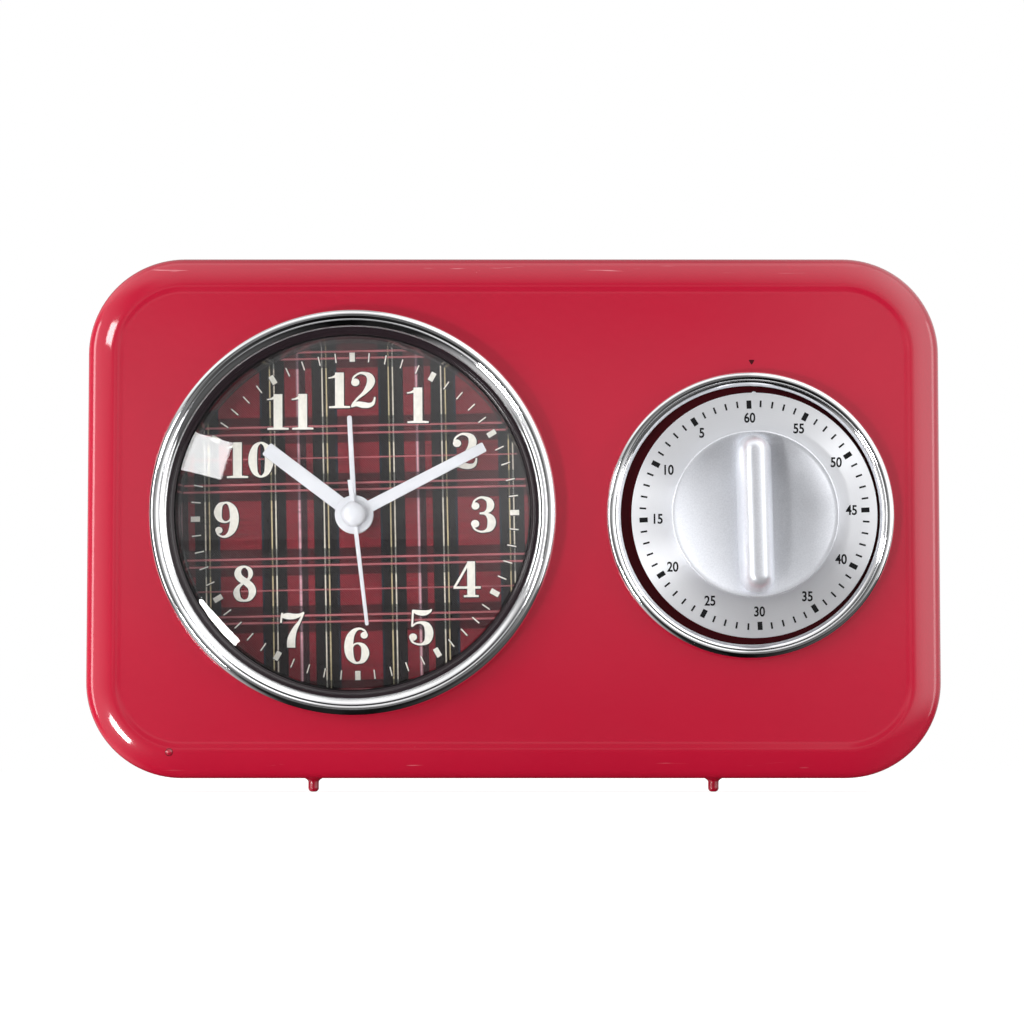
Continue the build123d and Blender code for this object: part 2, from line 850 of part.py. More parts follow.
hour_blade = bar_outline(hour_length, hour_width, hour_width, hour_width * blunt_corner)
minute_blade = bar_outline(minute_length, minute_width, minute_tip_width, minute_tip_width * blunt_corner)
alarm_blade = bar_outline(alarm_length, alarm_width, alarm_width, alarm_width * round_corner)
second_blade = bar_outline(second_length, second_width, second_tip_width, second_tip_width * soft_corner)
tail_blade = bar_outline(second_tail, second_width, second_width, second_width * soft_corner)
second_blade += Rotation(0, 0, 180) * tail_blade
save("alarm_hand", make_hand(alarm_blade, alarm_hub, alarm_hand_rear, alarm_tube, alarm_angle))
save("hour_hand", make_hand(hour_blade, hour_hub, hour_hand_rear, hour_tube, hour_angle))
save("minute_hand", make_hand(minute_blade, minute_hub, minute_hand_rear, cannon_outer, minute_angle))


def make_second_hand():
    """Slim hand with a tail and a domed cap over the hub."""
    hand = make_hand(second_blade, second_hub, second_hand_rear, second_shaft, second_angle)
    front = second_hand_rear + hand_sheet
    sphere_radius = (cap_radius ** 2 + cap_height ** 2) / (2 * cap_height)
    outline = (
        Polyline((0, front + cap_height), (0, front), (cap_radius, front))
        + RadiusArc((cap_radius, front), (0, front + cap_height), -sphere_radius)
    )
    return hand + turned(CLOCK, outline)


save("second_hand", make_second_hand())


# Movement box
def box_sketch(inset):
    """Rounded outline of the movement, drawn in by an inset, about the hands' axis."""
    width = 2 * (movement_half_width - inset)
    height = movement_top + movement_bottom - 2 * inset
    middle = (movement_top - movement_bottom) / 2
    return Pos(0, middle) * RectangleRounded(width, height, max(movement_corner - inset, least_corner))


bay_bottom = clock_z - inner_bottom
bay_top = bay_bottom + 2 * (battery_radius + battery_gap)
battery_z = (bay_bottom + bay_top) / 2
battery_depth = front_wall_rear - battery_gap - battery_radius
bay_left = clock_x - inner_half_width
bay_right = clock_x + inner_half_width
post_level = second_level[1] + post_gap
board_level = (post_level, post_level + board_thickness)
stator_level = (post_level, post_level + stator_sheet)
board_left = bay_left + board_margin
board_top = clock_z + inner_top - board_top_gap
board_bottom = board_top - board_height
board_right = board_left + board_width
stator_right = bay_right - stator_gap
coil_x = stator_right - coil_radius
coil_top = rotor_place[1] - coil_drop
coil_bottom = coil_top - coil_length
leg_right = coil_x - coil_radius - leg_gap
leg_left = leg_right - stator_leg
board_posts = [
    (board_left + post_inset, board_bottom + post_inset),
    (board_right - post_inset, board_top - post_inset),
]
stator_posts = [
    (stator_right - post_inset, rotor_place[1] + stator_post_rise),
    (leg_left + stator_leg / 2, coil_bottom - foot_post_drop),
]
rear_pivots = [CLOCK, fifth_place, rotor_place, third_place]
switch_place = ((board_left + board_right) / 2 - switch_travel / 2, (board_bottom + board_top) / 2)
pivot_radius = arbor_radius + arbor_fit


def make_movement_rear():
    """Rear half of the movement: bearing wall, posts, the open battery bay and the switch slot."""
    box = slab(CLOCK, box_sketch(0), movement_rear, plate_rear)
    box -= slab(CLOCK, box_sketch(movement_wall), rear_wall_front, plate_rear)
    box += block(bay_left, bay_right, bay_top, bay_top + bay_wall, movement_rear, plate_rear)
    box -= block(bay_left, bay_right, bay_bottom, bay_top, movement_rear, rear_wall_front)
    for place in board_posts + stator_posts:
        box += disc(place, post_radius, rear_wall_front, post_level)
    for place in rear_pivots:
        box -= disc(place, pivot_radius, rear_wall_front - pivot_depth, rear_wall_front)
    for place in (setting_place, alarm_place):
        box -= disc(place, setting_arbor + arbor_fit, movement_rear, rear_wall_front)
    slot_length = switch_stem_length + switch_travel + 2 * switch_gap
    slot = Rectangle(slot_length, switch_stem_width + 2 * switch_gap)
    middle = near(switch_place, (switch_travel / 2, 0))
    return box - slab(middle, slot, movement_rear, rear_wall_front)


def make_movement_front():
    """Front half of the movement: bearing wall and the threaded bushing that carries the hands."""
    box = slab(CLOCK, box_sketch(0), plate_front, movement_front)
    box -= slab(CLOCK, box_sketch(movement_wall), plate_front, front_wall_rear)
    box += block(bay_left, bay_right, bay_top, bay_top + bay_wall, plate_front, front_wall_rear)
    box += disc(CLOCK, bushing_radius, movement_front, nut_front)
    box -= disc(CLOCK, bushing_bore, front_wall_rear, nut_front)
    return box - disc(alarm_place, setting_arbor + arbor_fit, front_wall_rear, front_wall_rear + pivot_depth)


def make_movement_plate():
    """Bearing plate between the two halves, with the stud of the minute wheel."""
    plate = slab(CLOCK, box_sketch(0), plate_rear, plate_front)
    plate -= block(bay_left, bay_right, bay_bottom, bay_top, plate_rear, plate_front)
    plate -= disc(CLOCK, cannon_outer + tube_gap, plate_rear, plate_front)
    for place in (fifth_place, rotor_place, third_place):
        plate -= disc(place, pivot_radius, plate_rear, plate_front)
    for place in (setting_place, alarm_place):
        plate -= disc(place, setting_arbor + arbor_fit, plate_rear, plate_front)
    return plate + disc(minute_place, stud_radius, plate_front, hour_level[1] + level_gap / 2)


save("movement_rear_case", make_movement_rear())
save("movement_front_case", make_movement_front())
save("movement_plate", make_movement_plate())

# Clock wheels
arbor_rear = rear_wall_front - pivot_depth + end_shake
second_phase = 0.0
fifth_pinion_phase = mesh_phase(second_teeth, second_phase, fifth_direction, fifth_pinion_teeth)
fifth_phase = 0.0
rotor_phase = mesh_phase(fifth_teeth, fifth_phase, rotor_direction, rotor_teeth)
second_pinion_phase = 0.0
third_phase = mesh_phase(second_pinion_teeth, second_pinion_phase, third_direction, third_teeth)
centre_phase = 0.0
third_pinion_phase = mesh_phase(centre_teeth, centre_phase, third_direction, third_pinion_teeth)
cannon_phase = 0.0
minute_phase = mesh_phase(cannon_teeth, cannon_phase, minute_direction, minute_teeth)
setting_phase = mesh_phase(minute_teeth, minute_phase, minute_direction, setting_teeth)
hour_phase = 0.0
minute_pinion_phase = mesh_phase(hour_teeth, hour_phase, minute_direction, minute_pinion_teeth)
alarm_phase = 0.0
alarm_pinion_phase = mesh_phase(alarm_teeth, alarm_phase, alarm_direction, alarm_pinion_teeth)
spacer_gap = level_gap / 3

rotor = disc(rotor_place, arbor_radius, arbor_rear, plate_front)
rotor += gear(rotor_place, clock_module, rotor_teeth, fifth_level, rotor_phase)
magnet_rear = (stator_level[0] + stator_level[1] - magnet_length) / 2
rotor += disc(rotor_place, magnet_radius, magnet_rear, magnet_rear + magnet_length)
save("rotor", rotor)

fifth_wheel = disc(fifth_place, arbor_radius, arbor_rear, plate_front)
fifth_wheel += gear(fifth_place, clock_module, fifth_teeth, fifth_level, fifth_phase)
fifth_pinion_level = (fifth_level[1], second_level[1] + spacer_gap)
fifth_wheel += gear(fifth_place, clock_module, fifth_pinion_teeth, fifth_pinion_level, fifth_pinion_phase)
save("fifth_wheel", fifth_wheel)

second_front = second_hand_rear + hand_sheet
second_wheel = disc(CLOCK, second_shaft, arbor_rear, second_front)
second_wheel += gear(CLOCK, clock_module, second_teeth, second_level, second_phase)
second_pinion_level = (second_level[1], third_level[1] + spacer_gap)
second_wheel += gear(CLOCK, clock_module, second_pinion_teeth, second_pinion_level, second_pinion_phase)
save("second_wheel", second_wheel)

third_wheel = disc(third_place, arbor_radius, arbor_rear, plate_front)
third_wheel += gear(third_place, clock_module, third_teeth, third_level, third_phase)
third_pinion_level = (third_level[1], centre_level[1] + spacer_gap)
third_wheel += gear(third_place, centre_module, third_pinion_teeth, third_pinion_level, third_pinion_phase)
save("third_wheel", third_wheel)

centre_bore = cannon_outer + arbor_fit
save("centre_wheel", gear(CLOCK, centre_module, centre_teeth, centre_level, centre_phase, centre_bore))

cannon_rear = centre_level[0] - spacer_gap
minute_hand_front = minute_hand_rear + hand_sheet
cannon_pinion = disc(CLOCK, cannon_outer, cannon_rear, minute_hand_front)
cannon_pinion += gear(CLOCK, clock_module, cannon_teeth, minute_level, cannon_phase)
save("cannon_pinion", cannon_pinion - disc(CLOCK, second_shaft + tube_gap, cannon_rear, minute_hand_front))

minute_wheel = gear(minute_place, clock_module, minute_teeth, minute_level, minute_phase)
minute_pinion_level = (minute_level[1], hour_level[1])
minute_wheel += gear(
    minute_place, motion_module, minute_pinion_teeth, minute_pinion_level, minute_pinion_phase
)
minute_bore = disc(minute_place, stud_radius + arbor_fit, minute_level[0], hour_level[1])
save("minute_wheel", minute_wheel - minute_bore)

hour_hand_front = hour_hand_rear + hand_sheet
hour_wheel = gear(CLOCK, motion_module, hour_teeth, hour_level, hour_phase)
hour_wheel += disc(CLOCK, hour_tube, hour_level[0], hour_hand_front)
save("hour_wheel", hour_wheel - disc(CLOCK, hour_bore, hour_level[0], hour_hand_front))

alarm_hand_front = alarm_hand_rear + hand_sheet
alarm_wheel = gear(CLOCK, clock_module, alarm_teeth, alarm_level, alarm_phase)
alarm_wheel += disc(CLOCK, alarm_tube, alarm_level[0], alarm_hand_front)
save("alarm_wheel", alarm_wheel - disc(CLOCK, alarm_bore, alarm_level[0], alarm_hand_front))


def make_set_knob(place, front, teeth, level, phase):
    """Fluted knob behind the movement, its arbor and the pinion that it turns."""
    knob_front = movement_rear - knob_gap
    knob_rear = knob_front - knob_height
    knob = disc(place, knob_radius, knob_rear, knob_front)
    for direction in around(knob_flute_count, 0):
        knob -= disc(polar(place, knob_radius, direction), flute_radius, knob_rear, knob_front)
    knob += disc(place, setting_arbor, knob_front, front)
    return knob + gear(place, clock_module, teeth, level, phase)


setting_front = minute_level[1] + spacer_gap
alarm_front = front_wall_rear + pivot_depth - end_shake
setting_knob = make_set_knob(setting_place, setting_front, setting_teeth, minute_level, setting_phase)
save("setting_knob", setting_knob)
alarm_knob = make_set_knob(alarm_place, alarm_front, alarm_pinion_teeth, alarm_level, alarm_pinion_phase)
save("alarm_knob", alarm_knob)


# Clock electrics
def make_stator():
    """Soft iron plate: a head round the rotor, a leg beside the coil, and the coil's core."""
    head = block(
        rotor_place[0] - magnet_radius - stator_side,
        stator_right,
        coil_top,
        rotor_place[1] + magnet_radius + stator_top,
        *stator_level,
    )
    leg = block(leg_left, leg_right, coil_bottom, coil_top, *stator_level)
    foot = block(leg_left, stator_right, coil_bottom - stator_foot, coil_bottom, *stator_level)
    core = block(coil_x - coil_core, coil_x + coil_core, coil_bottom, coil_top, *stator_level)
    hole = disc(rotor_place, magnet_radius + magnet_gap, *stator_level)
    return head + leg + foot + core - hole


def make_coil():
    """Wound bobbin with two end flanges, slid over the stator's core."""
    depth = (stator_level[0] + stator_level[1]) / 2
    base = Location((coil_x, -depth, coil_bottom))
    coil = base * Cylinder(coil_wire_radius, coil_length, align=BASE)
    for height in (0, coil_length - coil_flange):
        rise = Location((coil_x, -depth, coil_bottom + height))
        coil += rise * Cylinder(coil_radius, coil_flange, align=BASE)
    room = thread_fit
    return coil - block(
        coil_x - coil_core - room,
        coil_x + coil_core + room,
        coil_bottom,
        coil_top,
        stator_level[0] - room,
        stator_level[1] + room,
    )


save("stator", make_stator())
save("coil", make_coil())
board = block(board_left, board_right, board_bottom, board_top, *board_level)
chip_place = (board_left + board_width * chip_share, (board_bottom + board_top) / 2)
board += disc(chip_place, chip_radius, board_level[1], board_level[1] + chip_height)
save("circuit_board", board)
crystal_x = board_right - crystal_length - crystal_inset
crystal_depth = board_level[1] + crystal_radius
crystal_place = Location((crystal_x, -crystal_depth, board_bottom + crystal_rise), (0, 90, 0))
save("quartz_crystal", crystal_place * Cylinder(crystal_radius, crystal_length, align=BASE))
buzzer_place = (bay_left + buzzer_radius + buzzer_inset, clock_z - buzzer_drop)
buzzer_rear = front_wall_rear - buzzer_thickness
buzzer = disc(buzzer_place, buzzer_radius, buzzer_rear, front_wall_rear)
save("buzzer", buzzer - disc(buzzer_place, buzzer_hole, buzzer_rear, front_wall_rear - buzzer_front))

battery_right = bay_right - contact_sheet - battery_nub
battery_left = battery_right - battery_length
lying = Location((battery_left, -battery_depth, battery_z), (0, 90, 0))
battery = lying * Cylinder(battery_radius, battery_length, align=BASE)
battery = fillet(battery.edges().filter_by(GeomType.CIRCLE), battery_edge)
nub = Location((battery_right, -battery_depth, battery_z), (0, 90, 0))
battery += nub * Cylinder(battery_nub_radius, battery_nub, align=BASE)
save("battery", battery)
contact_low = battery_z - contact_height / 2
contact_high = battery_z + contact_height / 2
contact_rear = battery_depth - contact_width / 2
contact_front = battery_depth + contact_width / 2
plus_left = bay_right - contact_sheet
plus_contact = block(plus_left, bay_right, contact_low, contact_high, contact_rear, contact_front)
save("battery_contact_plus", plus_contact)


def make_minus_contact():
    """Plate with a bowed leaf that presses on the flat end of the cell."""
    plate_right = bay_left + contact_sheet
    plate = block(bay_left, plate_right, contact_low, contact_high, contact_rear, contact_front)
    reach = battery_left - plate_right
    half = leaf_span / 2
    bow = ThreePointArc((0, -half), (reach, 0), (0, half))
    inner_half = half - leaf_sheet * leaf_foot_share
    inner = ThreePointArc((0, inner_half), (reach - leaf_sheet, 0), (0, -inner_half))
    outline = bow + Line(bow @ 1, inner @ 0) + inner + Line(inner @ 1, bow @ 0)
    leaf_rear = battery_depth - leaf_width / 2
    leaf = slab((plate_right, battery_z), make_face(outline), leaf_rear, leaf_rear + leaf_width)
    return plate + leaf


save("battery_contact_minus", make_minus_contact())
switch_rear = rear_wall_front + switch_gap
switch = slab(switch_place, Rectangle(switch_length, switch_width), switch_rear, board_level[0] - switch_gap)
stem = Rectangle(switch_stem_length, switch_stem_width)
switch += slab(switch_place, stem, movement_rear - switch_reach, switch_rear)
save("alarm_switch", switch)


# Timer front: ring, disc and knob
def make_timer_ring():
    """Chromed ring with two beads and pegs that pass through the panel."""
    top = panel_outer + ring_height
    ring = beaded_ring(ring_place, ring_outer, ring_inner, panel_outer, top, ring_inner, panel_outer, 0)
    for place in peg_places:
        ring += disc(place, ring_peg_radius, panel_inner - ring_nut_height - ring_peg_end, panel_outer)
    return ring


def make_ring_nuts():
    """Push-on nuts behind the panel."""
    rear = panel_inner - ring_nut_height
    bore = ring_peg_radius + thread_fit
    return group([disc(place, ring_nut_radius, rear, panel_inner, bore) for place in peg_places])


def make_timer_disc():
    """Thin spun disc with a small nib on its edge at the zero mark."""
    plate = disc(TIMER, disc_radius, disc_rear, disc_front)
    nib_place = polar(TIMER, disc_radius + disc_nib - disc_nib_radius, 90)
    plate += disc(nib_place, disc_nib_radius, disc_rear, disc_front)
    return plate - disc(TIMER, timer_arbor + hand_fit, disc_rear, disc_front)


def make_timer_knob():
    """Hollow dish with a round-ended grip bar across it, bored from behind for the arbor."""
    top = disc_front + knob_dish_height
    floor = disc_front + knob_dish_floor
    lip = knob_dish_radius - knob_rim
    foot = knob_dish_radius - knob_draft
    hollow = (lip * knob_hollow_radius, floor + (top - floor) * knob_hollow_rise)
    outline = (
        Polyline((0, floor), (0, disc_front), (foot, disc_front), (knob_dish_radius, top - knob_rim))
        + RadiusArc((knob_dish_radius, top - knob_rim), (lip, top), -knob_rim)
        + ThreePointArc((lip, top), hollow, (0, floor))
    )
    dish = turned(TIMER, outline)
    bar = slab(TIMER, SlotOverall(bar_length, bar_width, rotation=90 + knob_turn), disc_front, bar_top)
    bar = fillet(bar.faces().sort_by(Axis.Y)[0].edges(), bar_round)
    return dish + bar - disc(TIMER, timer_arbor + hand_fit, disc_front, bar_top - knob_bore_cover)


save("timer_ring", make_timer_ring())
save("timer_ring_nuts", make_ring_nuts())
save("timer_disc", make_timer_disc())
save("timer_knob", make_timer_knob())

# Timer arbor and cam
arbor_end = rear_plate_rear
timer_rod = disc(TIMER, timer_arbor, arbor_end, bar_top - knob_bore_cover - knob_bore_room)
timer_rod += disc(TIMER, timer_collar, panel_inner + train_gap / 4, disc_rear)
save("timer_arbor", timer_rod)
cam_front = front_plate_rear - train_gap / 2
cam_level = (cam_front - cam_thickness, cam_front)
cam = disc(TIMER, cam_radius, *cam_level, timer_arbor + hand_fit)
save("timer_cam", cam - disc(polar(TIMER, cam_radius, cam_notch_direction), cam_notch, *cam_level))

# Timer plates, pillars and screws
train_places = (second_timer_place, third_timer_place, escape_place, pallet_place, hammer_place)
bearing = train_arbor + arbor_fit


def make_timer_plate(rear, extra_holes):
    """Round plate with the bearing holes of the train."""
    plate = disc(TIMER, plate_radius, rear, rear + plate_sheet, timer_arbor + arbor_fit)
    for place in train_places:
        plate -= disc(place, bearing, rear, rear + plate_sheet)
    for place in pillar_places:
        plate -= disc(place, pillar_screw_radius + thread_fit, rear, rear + plate_sheet)
    for place, radius in extra_holes:
        plate -= disc(place, radius, rear, rear + plate_sheet)
    return plate


mount_holes = [(place, mount_screw_radius + thread_fit) for place in mount_places]
save("timer_front_plate", make_timer_plate(front_plate_rear, mount_holes))
save("timer_rear_plate", make_timer_plate(rear_plate_rear, [(bell_place, bell_post + thread_fit)]))
pillar_bore = pillar_screw_radius + thread_fit
pillars = []
pillar_screws = []
for place in pillar_places:
    pillars.append(disc(place, pillar_radius, rear_plate_front, front_plate_rear, pillar_bore))
    head = disc(place, pillar_screw_head, rear_plate_rear - pillar_screw_head_height, rear_plate_rear)
    slot = slab(
        place,
        Rectangle(2 * pillar_screw_head, pillar_screw_slot),
        rear_plate_rear - pillar_screw_head_height,
        rear_plate_rear - pillar_screw_head_height / 2,
    )
    shank = disc(place, pillar_screw_radius, rear_plate_rear, rear_plate_front + pillar_screw_grip)
    rivet = disc(place, pillar_screw_radius, front_plate_rear - pillar_screw_grip, panel_inner)
    pillar_screws += [head - slot + shank, rivet]
save("timer_pillars", group(pillars))
save("timer_pillar_screws", group(pillar_screws))
mount_screws = []
for place in mount_places:
    head = disc(place, mount_screw_head, panel_outer, panel_outer + mount_screw_head_height)
    slot_floor = panel_outer + mount_screw_head_height / 2
    slot_sketch = Rectangle(2 * mount_screw_head, mount_screw_slot)
    slot = slab(place, slot_sketch, slot_floor, panel_outer + mount_screw_head_height)
    shank = disc(place, mount_screw_radius, front_plate_rear - mount_screw_reach, panel_outer)
    mount_screws.append(head - slot + shank)
save("timer_mount_screws", group(mount_screws))


# Timer mainspring and train
def make_mainspring():
    """Spiral band of half turns, each half a pitch wider than the last."""
    spring = None
    shift = 0.0
    radius = timer_arbor + spring_hug
    for step in range(spring_half_turn_count):
        side = 1 if step % 2 == 0 else -1
        ring = Circle(radius + spring_sheet) - Circle(radius)
        reach = radius + spring_pitch
        half = Pos(0, side * reach / 2) * Rectangle(2 * reach, reach)
        turn = slab(near(TIMER, (shift, 0)), ring & half, *spring_level)
        spring = turn if spring is None else spring + turn
        shift += side * spring_pitch / 2
        radius += spring_pitch / 2
    return spring


save("timer_mainspring", make_mainspring())
main_phase = 0.0
second_timer_phase = mesh_phase(main_teeth, main_phase, second_timer_direction, second_timer_pinion_teeth)
second_wheel_phase = 0.0
third_timer_phase = mesh_phase(
    second_timer_teeth, second_wheel_phase, third_timer_direction, third_timer_pinion_teeth
)
third_wheel_phase = 0.0
escape_phase = mesh_phase(third_timer_teeth, third_wheel_phase, escape_direction, escape_pinion_teeth)
main_bore = timer_arbor + arbor_fit
save("timer_main_wheel", gear(TIMER, main_module, main_teeth, main_level, main_phase, main_bore))


def make_train_wheel(place, pinion, wheel):
    """Arbor between the plates with one pinion and one wheel; each is (module, teeth, level, phase)."""
    arbor = disc(place, train_arbor, rear_plate_rear, panel_inner)
    module, teeth, level, phase = pinion
    longer = (level[0] - train_gap / 4, level[1] + train_gap / 4)
    return arbor + gear(place, module, teeth, longer, phase) + gear(place, *wheel)


save("timer_second_wheel", make_train_wheel(
    second_timer_place,
    (main_module, second_timer_pinion_teeth, main_level, second_timer_phase),
    (second_timer_module, second_timer_teeth, second_timer_level, second_wheel_phase),
))
save("timer_third_wheel", make_train_wheel(
    third_timer_place,
    (second_timer_module, third_timer_pinion_teeth, second_timer_level, third_timer_phase),
    (third_timer_module, third_timer_teeth, third_timer_level, third_wheel_phase),
))


def make_escape_wheel():
    """Arbor, pinion and a wheel with pointed, leaning teeth."""
    wheel = disc(escape_place, train_arbor, rear_plate_rear, panel_inner)
    level = (third_timer_level[0] - train_gap / 4, third_timer_level[1] + train_gap / 4)
    wheel += gear(escape_place, third_timer_module, escape_pinion_teeth, level, escape_phase)
    corners = (
        (escape_root, 0),
        (escape_radius, escape_rise),
        (escape_radius, escape_land),
        (escape_root, escape_fall),
    )
    points = []
    for tooth in range(escape_teeth):
        for radius, share in corners:
            points.append(polar((0, 0), radius, 360 * (tooth + share) / escape_teeth))
    return wheel + slab(escape_place, make_face(Polyline(*points, close=True)), *escape_level)


def make_pallet_lever():
    """Anchor on its own arbor: two arms, each with a pin beside the escape wheel."""
    toward = pallet_direction + 180
    lever = disc(pallet_place, train_arbor, rear_plate_rear, panel_inner)
    arm_rear = escape_level[1] + train_gap / 4
    arm_front = arm_rear + pallet_sheet
    lever += disc(pallet_place, pallet_hub, arm_rear, arm_front)
    pin_circle = escape_radius + pallet_pin_radius + pallet_pin_gap
    for side in (-1, 1):
        pin = polar(escape_place, pin_circle, pallet_direction + side * pallet_spread)
        lever += link(pallet_place, pin, pallet_arm_width, arm_rear, arm_front)
        lever += disc(pin, pallet_pin_radius, escape_level[0], arm_rear)
    return lever


save("timer_escape_wheel", make_escape_wheel())
save("timer_pallet_lever", make_pallet_lever())


# Bell and hammer
def make_bell():
    """Domed shell, open towards the timer, with a hole for its post."""
    rim = rear_plate_rear - bell_gap
    apex = rim - bell_height
    inner = bell_radius - bell_sheet
    bore = bell_post + thread_fit
    crown = bell_radius * bell_crown_share
    bow = bell_radius * bell_bow_share
    bow_depth = apex + bell_height * bell_bow_rise
    outline = (
        Polyline((bore, apex), (crown, apex))
        + ThreePointArc((crown, apex), (bow, bow_depth), (bell_radius, rim))
        + Line((bell_radius, rim), (inner, rim))
        + ThreePointArc(
            (inner, rim),
            (bow - bell_sheet, bow_depth + bell_sheet * bell_bow_sheet),
            (crown, apex + bell_sheet),
        )
        + Polyline((crown, apex + bell_sheet), (bore, apex + bell_sheet), (bore, apex))
    )
    return turned(bell_place, outline)


bell_apex = rear_plate_rear - bell_gap - bell_height
save("timer_bell", make_bell())
post = disc(bell_place, bell_post_base, bell_apex + bell_sheet, rear_plate_rear)
post += disc(bell_place, bell_post, bell_apex - bell_nut_height - bell_post_end, rear_plate_front)
save("bell_post", post)
bell_nut = slab(bell_place, RegularPolygon(bell_nut_radius, 6), bell_apex - bell_nut_height, bell_apex)
save("bell_nut", bell_nut - disc(bell_place, bell_post + thread_fit, bell_apex - bell_nut_height, bell_apex))


def make_hammer():
    """Arbor with a striking arm behind the rear plate and a trip arm beside the cam."""
    head_place = polar(bell_place, bell_radius + hammer_head + hammer_gap, hammer_bearing)
    arm_front = rear_plate_rear - hammer_plate_gap
    arm_rear = arm_front - hammer_sheet
    hammer = disc(hammer_place, train_arbor, arm_rear, panel_inner)
    hammer += link(hammer_place, head_place, hammer_arm_width, arm_rear, arm_front)
    hammer += disc(head_place, hammer_head, arm_rear - hammer_head_height, arm_front)
    reach = math.dist(hammer_place, TIMER) - cam_radius - trip_gap - hammer_arm_width / 2
    direction = math.degrees(math.atan2(TIMER[1] - hammer_place[1], TIMER[0] - hammer_place[0]))
    return hammer + link(hammer_place, polar(hammer_place, reach, direction), hammer_arm_width, *cam_level)


save("timer_hammer", make_hammer())
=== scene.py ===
"""Kitchen wall clock with a tartan dial and a wind-up timer.

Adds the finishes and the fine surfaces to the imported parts.
"""
import json
import math

import bmesh
import bpy
import numpy as np
from bpy.props import FloatProperty, FloatVectorProperty, IntProperty, PointerProperty
from mathutils import Euler, Matrix, Quaternion, Vector


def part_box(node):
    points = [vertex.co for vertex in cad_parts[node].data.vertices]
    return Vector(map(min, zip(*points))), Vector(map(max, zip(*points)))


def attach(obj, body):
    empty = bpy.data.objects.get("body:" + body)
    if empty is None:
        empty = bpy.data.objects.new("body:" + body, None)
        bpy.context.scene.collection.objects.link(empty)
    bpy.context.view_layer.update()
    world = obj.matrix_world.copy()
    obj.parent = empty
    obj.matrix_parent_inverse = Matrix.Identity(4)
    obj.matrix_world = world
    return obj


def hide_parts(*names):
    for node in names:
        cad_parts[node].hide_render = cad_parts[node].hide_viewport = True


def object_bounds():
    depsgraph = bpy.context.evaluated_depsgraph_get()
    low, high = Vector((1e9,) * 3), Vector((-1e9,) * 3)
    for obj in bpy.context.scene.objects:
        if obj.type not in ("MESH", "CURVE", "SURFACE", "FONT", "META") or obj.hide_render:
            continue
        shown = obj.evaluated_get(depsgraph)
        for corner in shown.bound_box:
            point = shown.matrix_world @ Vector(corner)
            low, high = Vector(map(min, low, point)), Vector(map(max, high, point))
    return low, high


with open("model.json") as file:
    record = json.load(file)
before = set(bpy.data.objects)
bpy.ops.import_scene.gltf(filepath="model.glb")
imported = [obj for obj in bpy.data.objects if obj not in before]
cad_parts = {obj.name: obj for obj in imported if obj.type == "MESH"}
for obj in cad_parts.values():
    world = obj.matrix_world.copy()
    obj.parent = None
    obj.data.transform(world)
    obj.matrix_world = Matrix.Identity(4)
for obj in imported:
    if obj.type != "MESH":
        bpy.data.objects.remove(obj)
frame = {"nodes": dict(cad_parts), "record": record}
CAD_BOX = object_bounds()

bl_info = {
    "name": "Kitchen Clock",
    "version": (1, 0, 0),
    "blender": (4, 5, 0),
    "location": "View3D > Sidebar > Clock",
    "description": "Builds the visible surfaces and finishes of a kitchen wall clock with a timer",
    "category": "Object",
}

MM = 0.001
CASE_LOW, CASE_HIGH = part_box("front_case")
BEZEL_LOW, BEZEL_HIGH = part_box("clock_bezel")
DIAL_LOW, DIAL_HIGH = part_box("clock_dial")
LENS_LOW, LENS_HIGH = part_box("clock_lens")
RING_LOW, RING_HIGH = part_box("timer_ring")
DISC_LOW, DISC_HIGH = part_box("timer_disc")
KNOB_LOW, KNOB_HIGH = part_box("timer_knob")
CLOCK_X = (BEZEL_LOW.x + BEZEL_HIGH.x) / 2
CLOCK_Z = (BEZEL_LOW.z + BEZEL_HIGH.z) / 2
CLOCK = (CLOCK_X, CLOCK_Z)
TIMER_X = (DISC_LOW.x + DISC_HIGH.x) / 2
TIMER_Z = (KNOB_LOW.z + KNOB_HIGH.z) / 2
TIMER = (TIMER_X, TIMER_Z)
RING_X = (RING_LOW.x + RING_HIGH.x) / 2
BEZEL_RADIUS = (BEZEL_HIGH.x - BEZEL_LOW.x) / 2
DIAL_RADIUS = (DIAL_HIGH.x - DIAL_LOW.x) / 2
LENS_RADIUS = (LENS_HIGH.x - LENS_LOW.x) / 2
RING_RADIUS = (RING_HIGH.x - RING_LOW.x) / 2
DISC_RADIUS = (DISC_HIGH.x - DISC_LOW.x) / 2
KNOB_RADIUS = (KNOB_HIGH.x - KNOB_LOW.x) / 2
PANEL_DEPTH = -BEZEL_HIGH.y
CASE_REAR = -CASE_HIGH.y
DIAL_DEPTH = -DIAL_LOW.y
DISC_DEPTH = -DISC_LOW.y
PRINT_LIFT = 0.03 * MM
PRINT_STEP = 0.004 * MM
PRINT_LAYERS = 6
# Shift of the dark print outlines to the right and down, which makes them a painted shadow.
PAINTED_SHADOW_SHIFT = 0.08 * MM
RING_INNER = 36.2 * MM
BEZEL_FOOT = 52 * MM
BEZEL_DROP = 0.08 * MM
RING_FALL = 0.28
MERGE_DISTANCE = 1e-7


def srgb(red, green, blue):
    """Linear colour of an 8-bit display colour."""
    values = np.array((red, green, blue)) / 255.0
    low = values / 12.92
    high = ((values + 0.055) / 1.055) ** 2.4
    return tuple(float(v) for v in np.where(values <= 0.04045, low, high))


# Settings that a user would change
def number_setting(name, description, default, unit="NONE"):
    """Setting that holds a number."""
    return FloatProperty(name=name, description=description, default=default, unit=unit)


def length_setting(name, description, millimetres):
    """Setting that holds a length."""
    return number_setting(name, description, millimetres * MM, "LENGTH")


def colour_setting(name, description, default):
    """Setting that holds a colour."""
    return FloatVectorProperty(name=name, description=description, default=default, subtype="COLOR", size=3)


